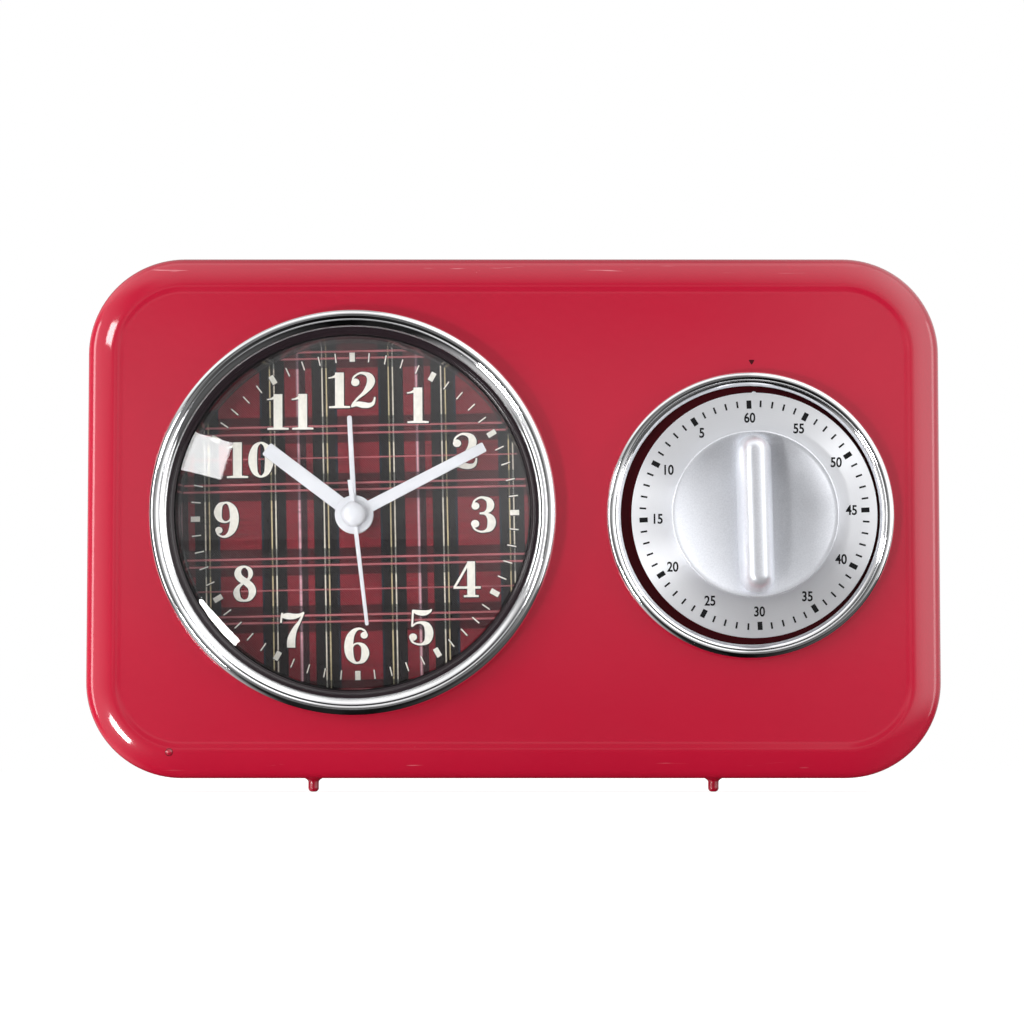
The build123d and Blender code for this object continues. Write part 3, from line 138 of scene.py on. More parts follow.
class CaseSettings(bpy.types.PropertyGroup):
    """Sizes and paint of the steel case."""

    corner: length_setting("Corner", "Outer corner radius", 27)
    roll: length_setting("Edge roll", "Radius of the outer edge", 3.2)
    slope: length_setting("Slope", "Width of the sloping rim band", 5.4)
    tilt: number_setting("Tilt", "Mean tilt of the rim band in degrees", 16.0)
    crest: length_setting("Crest", "Width of the crest and of the valley", 1.6)
    sheet: length_setting("Sheet", "Thickness of the steel", 0.8)
    hollow: length_setting("Hollow", "Radius of the bend inside", 6.2)
    paint: colour_setting("Paint", "Enamel of the case", srgb(189, 14, 50))


class DialSettings(bpy.types.PropertyGroup):
    """Sizes and colours of the clock dial."""

    turn: number_setting("Turn", "How far the print is turned, in degrees", 1.2)
    numeral_height: length_setting("Numeral height", "Height of a numeral", 10.3)
    numeral_circle: length_setting("Numeral circle", "Radius of the numerals' circle", 36.4)
    tick_inner: length_setting("Tick inner", "Radius where the ticks start", 43.9)
    tick_outer: length_setting("Tick outer", "Radius where the ticks end", 46.5)
    warp_period: length_setting("Warp period", "Repeat of the tartan across", 33.7)
    weft_period: length_setting("Weft period", "Repeat of the tartan upwards", 37.4)
    ink: colour_setting("Ink", "Colour of the numerals", srgb(240, 237, 228))


class TimerSettings(bpy.types.PropertyGroup):
    """Sizes of the timer's scale and knob."""

    turn: number_setting("Turn", "How far the scale is turned, in degrees", 2.6)
    number_height: length_setting("Number height", "Height of a number", 2.75)
    number_circle: length_setting("Number circle", "Radius of the numbers' circle", 27.2)
    tick_outer: length_setting("Tick outer", "Radius where the ticks end", 32.2)
    tick_inner: length_setting("Tick inner", "Radius where the broad ticks start", 29.9)
    bar_turn: number_setting("Bar turn", "How far the grip bar is turned, in degrees", 1.3)
    minutes: IntProperty(name="Minutes", description="Minutes of one turn", default=60, min=12)


class StageSettings(bpy.types.PropertyGroup):
    """Camera and light."""

    distance: number_setting("Distance", "Camera distance", 1.0, "LENGTH")
    elevation: number_setting("Elevation", "Camera elevation in degrees", -4.0)
    lens: number_setting("Lens", "Focal length in millimetres", 124.4, "CAMERA")
    key: number_setting("Key", "Power of the key light in watts", 1.15, "POWER")
    low: number_setting("Low", "Power of the lower light in watts", 4.0, "POWER")
    strip: number_setting("Strip", "Power of the left strip light in watts", 3.0, "POWER")
    top: number_setting("Top", "Power of the top light in watts", 0.5, "POWER")
    side: number_setting("Side", "Power of the side light in watts", 8.5, "POWER")
    rear: number_setting("Rear", "Power of the light behind in watts", 12.0, "POWER")


class ClockSettings(bpy.types.PropertyGroup):
    """All settings of the clock."""

    case: PointerProperty(type=CaseSettings, name="Case", description="Settings of the case")
    dial: PointerProperty(type=DialSettings, name="Dial", description="Settings of the dial")
    timer: PointerProperty(type=TimerSettings, name="Timer", description="Settings of the timer")
    stage: PointerProperty(type=StageSettings, name="Stage", description="Settings of camera and light")


# Surfaces
def grid_quads(rows, columns, wrap_rows, wrap_columns):
    """Corner numbers of the quads of a grid; a wrapped direction joins its last line to its first."""
    row = np.arange(rows if wrap_rows else rows - 1)
    column = np.arange(columns if wrap_columns else columns - 1)
    r, c = np.meshgrid(row, column, indexing="ij")
    here, after = r * columns, (r + 1) % rows * columns
    following = (c + 1) % columns
    quads = np.stack((here + c, here + following, after + following, after + c), -1)
    return quads.reshape(-1, 4)


def joined_mesh(name, parts, least_edge, closed=False):
    """One mesh of (points, quads) parts without empty faces; a closed one is merged and faces outwards."""
    starts = np.cumsum([0] + [len(points) for points, _ in parts])
    points = np.concatenate([points for points, _ in parts])
    quads = np.concatenate([quads + start for (_, quads), start in zip(parts, starts)])
    mesh = bpy.data.meshes.new(name)
    mesh.from_pydata(points.tolist(), [], quads.tolist())
    build = bmesh.new()
    build.from_mesh(mesh)
    if closed:
        bmesh.ops.remove_doubles(build, verts=build.verts, dist=MERGE_DISTANCE)
    bmesh.ops.dissolve_degenerate(build, edges=build.edges, dist=least_edge)
    if closed:
        bmesh.ops.recalc_face_normals(build, faces=build.faces)
    build.to_mesh(mesh)
    build.free()
    return mesh


def closed_mesh(name, grids):
    """Mesh of several closed grids; each is (points, wrap rows, wrap columns)."""
    parts = []
    for points, wrap_rows, wrap_columns in grids:
        parts.append((points.reshape(-1, 3), grid_quads(*points.shape[:2], wrap_rows, wrap_columns)))
    return joined_mesh(name, parts, 1e-8, True)


def flat_mesh(name, patches, depth):
    """Thin print that faces the viewer: patches of (x, z) points, each lifted a hair above the one before."""
    parts = []
    for number, grid in enumerate(patches):
        rows, columns = grid.shape[:2]
        flat = grid.reshape(-1, 2)
        lift = np.tile((number % PRINT_LAYERS + np.linspace(0, 0.9, columns)) * PRINT_STEP, rows)
        quads = grid_quads(rows, columns, False, False)
        a, b, c, d = (flat[quads[:, corner]] for corner in range(4))
        first, second = c - a, d - b
        area = first[:, 0] * second[:, 1] - first[:, 1] * second[:, 0]
        quads = np.where(area[:, None] < 0, quads[:, ::-1], quads)
        parts.append((np.stack((flat[:, 0], -depth - lift, flat[:, 1]), -1), quads))
    return joined_mesh(name, parts, 1e-9)


def new_object(name, data):
    """Object of a mesh, a text, a light or a camera, put into the scene."""
    item = bpy.data.objects.new(name, data)
    bpy.context.scene.collection.objects.link(item)
    return item


def place_piece(name, shape, body, material, nodes=(), sharp=35.0):
    """Put a mesh or a list of closed grids on its body, with its finish, in place of the named solids."""
    mesh = shape if isinstance(shape, bpy.types.Mesh) else closed_mesh(name, shape)
    piece = new_object(name, mesh)
    mesh.materials.clear()
    mesh.materials.append(material)
    mesh.shade_smooth()
    mesh.set_sharp_from_angle(angle=math.radians(sharp))
    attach(piece, body)
    if nodes:
        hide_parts(*nodes)
    return piece


def lathe(profile, centre, segments=192):
    """Points of a profile of (radius, depth) turned about the wall normal.

    x = centre x + radius cos a, z = centre z + radius sin a, y = -depth.
    """
    profile = np.asarray(profile, float)
    angle = np.linspace(0, 2 * math.pi, segments, endpoint=False)
    radius = profile[:, 0:1]
    x = centre[0] + radius * np.cos(angle)
    z = centre[1] + radius * np.sin(angle)
    y = np.repeat(-profile[:, 1:2], segments, axis=1)
    return np.stack((x, y, z), -1)


def arc(centre, radius, start, end, count=12):
    """Points of a circle arc: centre plus radius times (cos, sin), angles in degrees."""
    angle = np.radians(np.linspace(start, end, count))
    return np.stack((centre[0] + radius * np.cos(angle), centre[1] + radius * np.sin(angle)), -1)


def stacked(flat_loops):
    """Grid of (x, z) loops, each set at its own depth in front of the wall."""
    return np.stack([np.insert(loop, 1, -depth, axis=1) for loop, depth in flat_loops])


def rounded_rectangle(half_width, half_height, radius, arc_steps=28, edge_steps=24):
    """Loop of a rounded rectangle: four quarter arcs joined by straight runs, anticlockwise."""
    runs = []
    for side_x, side_z, start in ((1, 1, 0), (-1, 1, 90), (-1, -1, 180), (1, -1, 270)):
        middle = (side_x * (half_width - radius), side_z * (half_height - radius))
        runs.append(arc(middle, radius, start, start + 90, arc_steps))
    share = np.linspace(0, 1, edge_steps + 1)[1:-1, None]
    loop = []
    for run, following in zip(runs, runs[1:] + runs[:1]):
        loop += [run, run[-1] * (1 - share) + following[0] * share]
    return np.concatenate(loop)


def turned_about(points, angle):
    """Flat points turned anticlockwise by an angle in degrees."""
    c, s = math.cos(math.radians(angle)), math.sin(math.radians(angle))
    return points @ np.array(((c, s), (-s, c)))


def disc_patch(centre, radius, segments=28):
    """Filled circle as a grid of two rings."""
    angle = np.linspace(0, 2 * math.pi, segments + 1)
    ring = np.stack((np.cos(angle), np.sin(angle)), -1)
    return np.stack((centre + ring * radius * 0.01, centre + ring * radius))


def bar_patch(inner, outer, width, angle):
    """Radial bar between two radii, with the angle in degrees clockwise from upright."""
    half = width / 2
    corners = np.array((((-half, inner), (half, inner)), ((-half, outer), (half, outer))))
    return turned_about(corners, -angle)


def smooth_path(knots, closed=False, steps=14):
    """Curve through knots by cubic pieces whose slopes are half the chord of the neighbouring knots."""
    knots = np.asarray(knots, float)
    if closed:
        padded = np.concatenate((knots[-1:], knots, knots[:2]))
    else:
        padded = np.concatenate((2 * knots[:1] - knots[1:2], knots, 2 * knots[-1:] - knots[-2:-1]))
    t = np.linspace(0, 1, steps, endpoint=False)[None, :, None]
    p0, p1, p2, p3 = (padded[i:len(padded) - 3 + i, None, :] for i in range(4))
    second = (2 * p0 - 5 * p1 + 4 * p2 - p3) * t ** 2
    third = (3 * p1 - p0 - 3 * p2 + p3) * t ** 3
    curve = 0.5 * (2 * p1 + (p2 - p0) * t + second + third)
    last = knots[:1] if closed else knots[-1:]
    return np.concatenate((curve.reshape(-1, knots.shape[1]), last))


def pen_stroke(knots, swell=0.0, closed=False):
    """Ribbon of a broad pen: each knot is (x, y, width), and the edges lie half a width to each side."""
    path = smooth_path(knots, closed)
    slope = np.gradient(path[:, :2], axis=0)
    if closed:
        slope[0] = slope[-1] = path[1, :2] - path[-2, :2]
    slope /= np.linalg.norm(slope, axis=1, keepdims=True)
    side = np.stack((-slope[:, 1], slope[:, 0]), -1)
    half = path[:, 2:3] / 2 + swell
    middle = path[:, :2].copy()
    if not closed:
        middle[0] -= slope[0] * swell
        middle[-1] += slope[-1] * swell
    return np.stack((middle + side * half, middle - side * half))


# Shapes of the dial's numerals, in thousandths of their height: pen strokes of (x, y, width) and round
# drops of (x, y, radius)
SIX = [
    (245, 800, 50), (200, 905, 50), (80, 965, 55), (-55, 915, 110), (-165, 750, 190),
    (-210, 480, 225), (-175, 210, 190), (-70, 55, 90), (30, 30, 55), (150, 100, 140),
    (210, 290, 200), (165, 475, 140), (40, 560, 55), (-70, 530, 45), (-130, 430, 40),
]
STROKES = {
    "0": [("loop", [
        (0, 968, 55), (135, 870, 130), (195, 680, 200), (210, 500, 220), (195, 320, 200),
        (135, 130, 130), (0, 32, 55), (-135, 130, 130), (-195, 320, 200), (-210, 500, 220),
        (-195, 680, 200), (-135, 870, 130),
    ])],
    "1": [
        ("line", [(30, 20, 225), (30, 500, 225), (30, 985, 225)]),
        ("line", [(-250, 835, 35), (-160, 850, 45), (-70, 885, 80), (0, 940, 90)]),
        ("line", [(-240, 25, 50), (30, 35, 70), (300, 25, 50)]),
    ],
    "2": [
        ("drop", (-195, 710, 105)),
        ("line", [
            (-270, 700, 50), (-235, 850, 50), (-100, 955, 55), (40, 955, 85),
            (160, 885, 160), (205, 750, 205), (160, 600, 175), (30, 420, 100),
            (-130, 270, 60), (-260, 110, 50), (-290, 20, 40),
        ]),
        ("line", [
            (-280, 50, 60), (-160, 110, 130), (-10, 85, 165), (130, 70, 140),
            (235, 110, 100), (285, 200, 60), (300, 300, 40),
        ]),
    ],
    "3": [
        ("drop", (-195, 735, 100)),
        ("drop", (-205, 245, 105)),
        ("line", [
            (-265, 745, 50), (-215, 880, 50), (-80, 965, 55), (50, 950, 85),
            (155, 875, 160), (190, 755, 190), (150, 635, 150), (40, 550, 65), (-90, 530, 45),
        ]),
        ("line", [
            (-90, 530, 45), (60, 515, 75), (180, 415, 180), (215, 275, 215),
            (170, 120, 170), (50, 40, 75), (-80, 30, 50), (-215, 100, 50), (-280, 240, 50),
        ]),
    ],
    "4": [
        ("line", [(100, 20, 200), (100, 500, 200), (100, 985, 200)]),
        ("line", [(50, 975, 60), (-140, 610, 60), (-330, 265, 60)]),
        ("line", [(-350, 265, 65), (0, 265, 65), (340, 265, 65)]),
        ("line", [(-90, 25, 50), (100, 35, 70), (290, 25, 50)]),
    ],
    "5": [
        ("drop", (-205, 225, 100)),
        ("line", [
            (-215, 965, 40), (-90, 905, 130), (80, 885, 145), (220, 930, 80), (270, 985, 30),
        ]),
        ("line", [(-200, 965, 50), (-215, 720, 50), (-225, 510, 50)]),
        ("line", [
            (-225, 520, 40), (-130, 600, 50), (10, 620, 80), (150, 540, 170), (205, 345, 215),
            (165, 130, 170), (40, 35, 75), (-90, 30, 50), (-215, 90, 50), (-280, 210, 50),
        ]),
    ],
    "6": [("drop", (185, 785, 92)), ("line", SIX)],
    "7": [
        ("line", [(-285, 690, 45), (-275, 820, 50), (-250, 965, 50)]),
        ("line", [
            (-265, 870, 80), (-130, 875, 170), (40, 865, 150), (190, 900, 90), (300, 975, 40),
        ]),
        ("line", [(285, 965, 50), (200, 750, 65), (60, 500, 130), (-20, 250, 200), (-30, 10, 210)]),
    ],
    "8": [("loop", [
        (0, 968, 55), (-125, 905, 130), (-165, 775, 175), (-100, 645, 185),
        (50, 535, 180), (170, 410, 190), (200, 250, 180), (130, 85, 110), (0, 32, 55),
        (-140, 90, 130), (-200, 250, 165), (-155, 400, 100), (-20, 525, 60), (115, 635, 80),
        (160, 775, 120), (120, 900, 100),
    ])],
    "9": [("drop", (-185, 215, 92)), ("line", [(-x, 1000 - y, w) for x, y, w in SIX])],
}
DIGIT_STEP = 0.63
NUMERAL_SPREAD = 1.08


def numeral_patches(text, swell):
    """Patches of one numeral in a box of unit height, centred on its middle; swell widens every stroke."""
    patches = []
    for index, digit in enumerate(text):
        shift = np.array(((index - (len(text) - 1) / 2) * DIGIT_STEP, -0.5))
        for kind, shape in STROKES[digit]:
            shape = np.array(shape) / 1000
            if kind == "drop":
                patch = disc_patch(shape[:2], shape[2] + swell)
            else:
                patch = pen_stroke(shape, swell, kind == "loop")
            patches.append((patch + shift) * (NUMERAL_SPREAD, 1.0))
    return patches


# Materials
class Nodes:
    """Short calls that add nodes to a tree and link them."""

    def __init__(self, tree):
        self.tree = tree

    def put(self, node, key, value):
        """Link a socket to a node's input, or set a constant on that input."""
        if isinstance(value, bpy.types.NodeSocket):
            self.tree.links.new(value, node.inputs[key])
        else:
            node.inputs[key].default_value = value

    def add(self, kind, values=None, **settings):
        """New node with its settings and the values of its inputs."""
        node = self.tree.nodes.new(kind)
        for key, value in settings.items():
            setattr(node, key, value)
        for key, value in (values or {}).items():
            self.put(node, key, value)
        return node

    def math(self, operation, first, second=0.0):
        """Result of one sum."""
        return self.add("ShaderNodeMath", {0: first, 1: second}, operation=operation).outputs[0]

    def product(self, first, second):
        """One value times another."""
        return self.math("MULTIPLY", first, second)

    def axes(self, vector):
        """The three parts of a vector."""
        return self.add("ShaderNodeSeparateXYZ", {0: vector}).outputs

    def spread(self, value, low, high, start=0.0, end=1.0, curve="LINEAR"):
        """Value carried from the range start to end into the range low to high, and held at its ends."""
        values = {"Value": value, "From Min": start, "From Max": end, "To Min": low, "To Max": high}
        return self.add("ShaderNodeMapRange", values, interpolation_type=curve).outputs[0]


class Finish(Nodes):
    """One procedural finish: its shader and short calls for the patterns that feed it."""

    def __init__(self, name, colour, roughness, metallic=0.0, **sockets):
        self.material = bpy.data.materials.new(name)
        self.material.use_nodes = True
        super().__init__(self.material.node_tree)
        self.shader = self.tree.nodes["Principled BSDF"]
        self.shader.inputs["Base Color"].default_value = (*colour, 1.0)
        self.shader.inputs["Roughness"].default_value = roughness
        self.shader.inputs["Metallic"].default_value = metallic
        for socket, value in sockets.items():
            socket = socket.replace("_", " ").title().replace("Ior", "IOR")
            self.shader.inputs[socket].default_value = value
        self.coordinates = self.add("ShaderNodeTexCoord").outputs["Object"]

    def stretch(self, location=(0, 0, 0), scale=(1, 1, 1), rotation=(0, 0, 0)):
        """Object coordinates measured from a place, in units of a scale."""
        values = {"Vector": self.coordinates, "Location": location, "Scale": scale, "Rotation": rotation}
        return self.add("ShaderNodeMapping", values, vector_type="TEXTURE").outputs[0]

    def noise(self, scale, detail=3.0, roughness=0.55, vector=None):
        """Cloudy value between 0 and 1."""
        values = {"Scale": scale, "Detail": detail, "Roughness": roughness}
        values["Vector"] = self.coordinates if vector is None else vector
        return self.add("ShaderNodeTexNoise", values).outputs[0]

    def cells(self, scale):
        """Distance to the nearest of many scattered points."""
        values = {"Scale": scale, "Vector": self.coordinates}
        return self.add("ShaderNodeTexVoronoi", values).outputs["Distance"]

    def distance(self, place):
        """Distance from a line that runs through a place into the wall."""
        values = {0: self.stretch(place), 1: (1, 0, 1)}
        flat = self.add("ShaderNodeVectorMath", values, operation="MULTIPLY").outputs[0]
        return self.add("ShaderNodeVectorMath", {0: flat}, operation="LENGTH").outputs["Value"]

    def between(self, value, start, full, fade, end):
        """Share that rises from start to full and falls again from fade to end."""
        rise = self.spread(value, 0.0, 1.0, start, full)
        return self.product(rise, self.spread(value, 1.0, 0.0, fade, end))

    def ramp(self, value, stops):
        """Colour of the last of the (place, colour) stops that a value has passed."""
        node = self.add("ShaderNodeValToRGB", {"Fac": value})
        band = node.color_ramp
        band.interpolation = "CONSTANT"
        while len(band.elements) < len(stops):
            band.elements.new(0.5)
        for element, (place, _) in zip(band.elements, stops):
            element.position = place
        for element, (_, colour) in zip(band.elements, stops):
            element.color = (*colour, 1.0)
        return node.outputs["Color"]

    def blend(self, share, first, second, mode="MIX"):
        """Mix of two colours."""
        node = self.add("ShaderNodeMix", {0: share}, data_type="RGBA", blend_type=mode)
        for index, value in ((6, first), (7, second)):
            self.put(node, index, value if isinstance(value, bpy.types.NodeSocket) else (*value, 1.0))
        return node.outputs[2]

    def tint(self, value, dark, pale, end=0.7):
        """Colour that goes from dark to pale as a cloudy value rises through its middle range."""
        return self.blend(self.spread(value, 0.0, 1.0, 0.3, end), dark, pale)

    def bump(self, height, distance, strength=1.0, below=None):
        """Small relief on the surface, in metres."""
        values = {"Height": height, "Distance": distance, "Strength": strength}
        if below is not None:
            values["Normal"] = below
        return self.add("ShaderNodeBump", values).outputs["Normal"]

    def finished(self, **sockets):
        """The material, with each named input of its shader linked to a socket."""
        for name, socket in sockets.items():
            self.tree.links.new(socket, self.shader.inputs[name.replace("_", " ").title()])
        return self.material


def shade(colour, factor):
    """Colour made darker or lighter."""
    return tuple(min(1.0, channel * factor) for channel in colour)


def red_enamel(colour):
    """Glossy stoved enamel with faint cloudiness, orange peel and dust specks.

    It has pale streaks painted along the crest of the rim as highlight where light catches it, one blob of
    paint at the lower left with a dark ring of painted shade round its edge, and painted shade behind the
    timer disc, where it is dark and without gloss.
    """
    gloss = {"coat_weight": 0.9, "coat_roughness": 0.075, "coat_ior": 1.75, "specular_ior_level": 0.15}
    f = Finish("red_enamel", colour, 0.35, **gloss)
    base = f.tint(f.noise(9.0, 4.0), shade(colour, 0.94), shade(colour, 1.05))
    specks = f.spread(f.cells(260.0), 1.0, 0.0, 0.02, 0.05)
    dusty = f.product(specks, f.spread(f.noise(30.0), 0.0, 0.5, 0.6, 0.66))
    base = f.blend(dusty, base, srgb(235, 130, 140))
    # Pale streaks along the crest of the rim: painted highlight where light catches the crest.
    streaks = f.noise(1.0, 2.0, 0.5, f.stretch((6.0 * MM, 0, 0), (16 * MM, 1, 0.7 * MM)))
    height = f.math("ABSOLUTE", f.axes(f.coordinates)[2])
    crest = f.between(height, 68.6 * MM, 69.4 * MM, 70.6 * MM, 71.2 * MM)
    crest_highlight = f.product(crest, f.spread(streaks, 0.0, 0.6, 0.65, 0.73))
    base = f.blend(crest_highlight, base, srgb(240, 160, 168))
    blob = f.distance((-96.2 * MM, 0, -66.0 * MM))
    # Dark ring at the edge of the paint blob: painted shade round it.
    blob_painted_shade = f.between(blob, 0.7 * MM, 0.9 * MM, 1.0 * MM, 1.2 * MM)
    base = f.blend(blob_painted_shade, base, shade(colour, 0.3))
    # Inside the timer ring the paint is darkened and has no coat: painted shade under and round the timer
    # disc.
    well_shade_distance = f.distance((RING_X, 0, TIMER_Z))
    well_shade_start, well_shade_end = 36.3 * MM, 36.5 * MM
    base = f.blend(f.spread(well_shade_distance, 1.0, 0.0, well_shade_start, well_shade_end), base, shade(colour, 0.13))
    peel = f.bump(f.noise(520.0, 2.0), 0.006 * MM)
    wave = f.bump(f.noise(20.0, 2.0), 0.1 * MM, 0.6, peel)
    wave = f.bump(f.spread(blob, 1.0, 0.0, 0.0, 0.95 * MM), 0.45 * MM, 1.0, wave)
    return f.finished(
        base_color=base,
        roughness=f.spread(f.noise(60.0, 5.0), 0.28, 0.42),
        coat_weight=f.spread(well_shade_distance, 0.0, gloss["coat_weight"], well_shade_start, well_shade_end),
        normal=wave,
        coat_normal=f.bump(f.noise(240.0, 2.0), 0.003 * MM, 1.0, wave),
    )


def chrome_plate():
    """Bright chrome plate with faint ripples, pits and a little dullness."""
    bright = (0.86, 0.86, 0.87)
    f = Finish("chrome_plate", bright, 0.06, 1.0)
    pits = f.spread(f.cells(700.0), 0.0, 1.0, 0.04, 0.09)
    sparse = f.math("MAXIMUM", pits, f.spread(f.noise(70.0), 1.0, 0.0, 0.6, 0.68))
    ripple = f.bump(f.noise(90.0, 2.0), 0.05 * MM)
    return f.finished(
        base_color=f.blend(sparse, (0.3, 0.29, 0.28), bright),
        roughness=f.spread(f.noise(45.0, 5.0), 0.035, 0.13, 0.35, 0.75),
        normal=f.bump(sparse, 0.03 * MM, 1.0, ripple),
    )


def clear_lens():
    """Clear moulded lens with the faintest ripple and haze."""
    f = Finish("clear_lens", (0.985, 0.99, 0.99), 0.0, transmission_weight=1.0, ior=1.47)
    haze = f.spread(f.noise(35.0, 4.0), 0.0, 0.012, 0.5, 0.9)
    return f.finished(roughness=haze, normal=f.bump(f.noise(16.0, 1.0), 0.02 * MM))


def stripe_stops(bands, ground):
    """Stops of one repeat from (middle, half width, value) bands laid on a ground, later bands on top."""
    edges = sorted({0.0} | {round(m + side * h, 5) for m, h, _ in bands for side in (-1, 1)})
    stops = []
    for edge in edges:
        value = ground
        for middle, half, band in bands:
            if middle - half <= edge + 1e-6 < middle + half:
                value = band
        stops.append((edge, value))
    return stops


def tartan_print(dial):
    """Tartan: upright stripes of colour, darkened by level stripes, crossed by pale threads, on a twill."""
    ground = srgb(116, 29, 39)
    dark, navy, gold = srgb(15, 10, 12), srgb(22, 30, 42), srgb(192, 180, 140)
    white, rose = srgb(212, 208, 190), srgb(206, 158, 166)
    f = Finish("tartan_print", ground, 0.5, specular_ior_level=0.08)
    turn = (0, math.radians(-dial.turn), 0)
    centre = (CLOCK_X + 1.3 * MM, 0, CLOCK_Z - 2.2 * MM)
    place = f.axes(f.stretch(centre, (dial.warp_period, 1, dial.weft_period), turn))
    warp_place, weft_place = f.math("FRACT", place[0]), f.math("FRACT", place[2])
    warp_bands = []
    for middle, side in ((0.279, -1), (0.721, 1)):
        warp_bands += [(middle, 0.104, dark), (middle + side * 0.095, 0.009, navy)]
        warp_bands += [(middle + side * 0.018, 0.0055, gold), (middle - side * 0.018, 0.0055, white)]
    warp_bands += [(0.532, 0.03, srgb(46, 20, 26)), (0.496, 0.015, shade(rose, 0.45)), (0.496, 0.007, rose)]
    warp = f.ramp(warp_place, stripe_stops(warp_bands, ground))
    weft_bands, thread_bands = [], []
    for middle in (0.286, 0.7166):
        weft_bands += [(middle, 0.1, (0.11, 0.13, 0.16)), (middle, 0.03, (0.24, 0.22, 0.24))]
        thread_bands += [(middle + side * 0.026, 0.008, (1, 1, 1)) for side in (-1, 1)]
    weft = f.ramp(weft_place, stripe_stops(weft_bands, (0.9, 0.86, 0.88)))
    thread_bands += [(0.503, 0.006, (0.8, 0.8, 0.8))]
    threads = f.ramp(weft_place, stripe_stops(thread_bands, (0, 0, 0)))
    twill = f.axes(f.stretch(scale=(0.11 * MM, 1, 0.11 * MM), rotation=turn))
    diagonal = f.math("SINE", f.math("ADD", twill[0], twill[2]))
    cloth = f.blend(f.spread(diagonal, 0.68, 1.0, -0.6, 0.6), warp, f.blend(1.0, warp, weft, "MULTIPLY"))
    lines = f.product(threads, f.spread(diagonal, 0.45, 0.9, -0.6, 0.6))
    cloth = f.blend(lines, cloth, srgb(188, 108, 114))
    across = f.noise(1.0, 2.0, 0.6, f.stretch(scale=(9 * MM, 1, 0.28 * MM), rotation=turn))
    upright = f.noise(1.0, 2.0, 0.6, f.stretch(scale=(0.28 * MM, 1, 11 * MM), rotation=turn))
    uneven = f.product(f.spread(across, 0.5, 1.45, 0.25, 0.75), f.spread(upright, 0.78, 1.2, 0.25, 0.75))
    grey = f.add("ShaderNodeCombineColor", {0: uneven, 1: uneven, 2: uneven}).outputs[0]
    return f.finished(
        base_color=f.blend(1.0, cloth, grey, "MULTIPLY"),
        roughness=f.spread(across, 0.42, 0.6),
        normal=f.bump(diagonal, 0.01 * MM),
    )


def printed_ink(name, colour, roughness=0.45):
    """Screen-printed ink, a little uneven in tone."""
    f = Finish(name, colour, roughness, specular_ior_level=0.15)
    tone = f.noise(900.0, 3.0)
    base = f.tint(tone, shade(colour, 0.9), shade(colour, 1.05))
    return f.finished(base_color=base, normal=f.bump(tone, 0.004 * MM))


def white_enamel():
    """Soft white enamel of the hands, faintly cloudy."""
    f = Finish("white_enamel", (0.68, 0.69, 0.73), 0.35, coat_weight=0.3, coat_roughness=0.15)
    tone = f.noise(140.0, 4.0)
    return f.finished(
        base_color=f.tint(tone, (0.65, 0.66, 0.7), (0.71, 0.72, 0.76)),
        roughness=f.spread(tone, 0.28, 0.45),
        normal=f.bump(f.noise(700.0), 0.004 * MM),
    )


def spun_aluminium():
    """Lacquered disc, bowed a hair, with fine circular lines about the timer's axis and a stretched sheen."""
    f = Finish("spun_aluminium", (0.94, 0.95, 0.98), 0.45, 0.7, anisotropic=0.9)
    centre = (TIMER_X, 0, TIMER_Z)
    rise = f.axes(f.stretch(centre))[2]
    bow = f.bump(f.product(f.product(rise, rise), -1280.0), 1 * MM)
    ring_place = f.add("ShaderNodeCombineXYZ", {0: f.distance(centre), 1: 0.0, 2: 0.0}).outputs[0]
    rings = f.noise(5200.0, 3.0, 0.7, ring_place)
    return f.finished(
        base_color=f.tint(rings, (0.91, 0.92, 0.95), (0.96, 0.97, 1.0)),
        roughness=f.spread(f.noise(3000.0, 2.0), 0.4, 0.5),
        tangent=f.add("ShaderNodeTangent", direction_type="UV_MAP").outputs[0],
        normal=f.bump(rings, 0.004 * MM, 1.0, bow),
    )


def satin_silver():
    """Sprayed satin silver of the knob: fine metal flake and a little handling wear."""
    f = Finish("satin_silver", (0.85, 0.87, 0.92), 0.34, 0.64, coat_weight=0.25, coat_roughness=0.25)
    flake = f.noise(2600.0, 2.0)
    wear = f.noise(55.0, 5.0)
    return f.finished(
        base_color=f.tint(flake, (0.8, 0.82, 0.87), (0.9, 0.92, 0.97)),
        roughness=f.spread(wear, 0.28, 0.42, 0.3, 0.7),
        normal=f.bump(flake, 0.006 * MM, 0.8, f.bump(wear, 0.03 * MM)),
    )


def moulded_plastic(name, colour, roughness=0.5, grain=1400.0):
    """Moulded plastic with a fine spark-eroded grain and faint flow marks."""
    f = Finish(name, colour, roughness)
    flow = f.noise(30.0, 4.0)
    return f.finished(
        base_color=f.tint(flow, shade(colour, 0.85), shade(colour, 1.2)),
        roughness=f.spread(flow, roughness - 0.08, roughness + 0.1),
        normal=f.bump(f.noise(grain, 2.0), 0.02 * MM),
    )


def worked_metal(name, colour, roughness=0.32):
    """Rolled or drawn metal with fine lines along one way and tarnish clouds."""
    f = Finish(name, colour, roughness, 1.0)
    lines = f.noise(1.0, 3.0, 0.6, f.stretch(scale=(0.4 * MM, 8.0 * MM, 0.4 * MM)))
    return f.finished(
        base_color=f.tint(f.noise(80.0, 4.0), shade(colour, 0.78), shade(colour, 1.1), 0.75),
        roughness=f.spread(lines, roughness - 0.1, roughness + 0.14, 0.25, 0.75),
        normal=f.bump(lines, 0.01 * MM),
    )


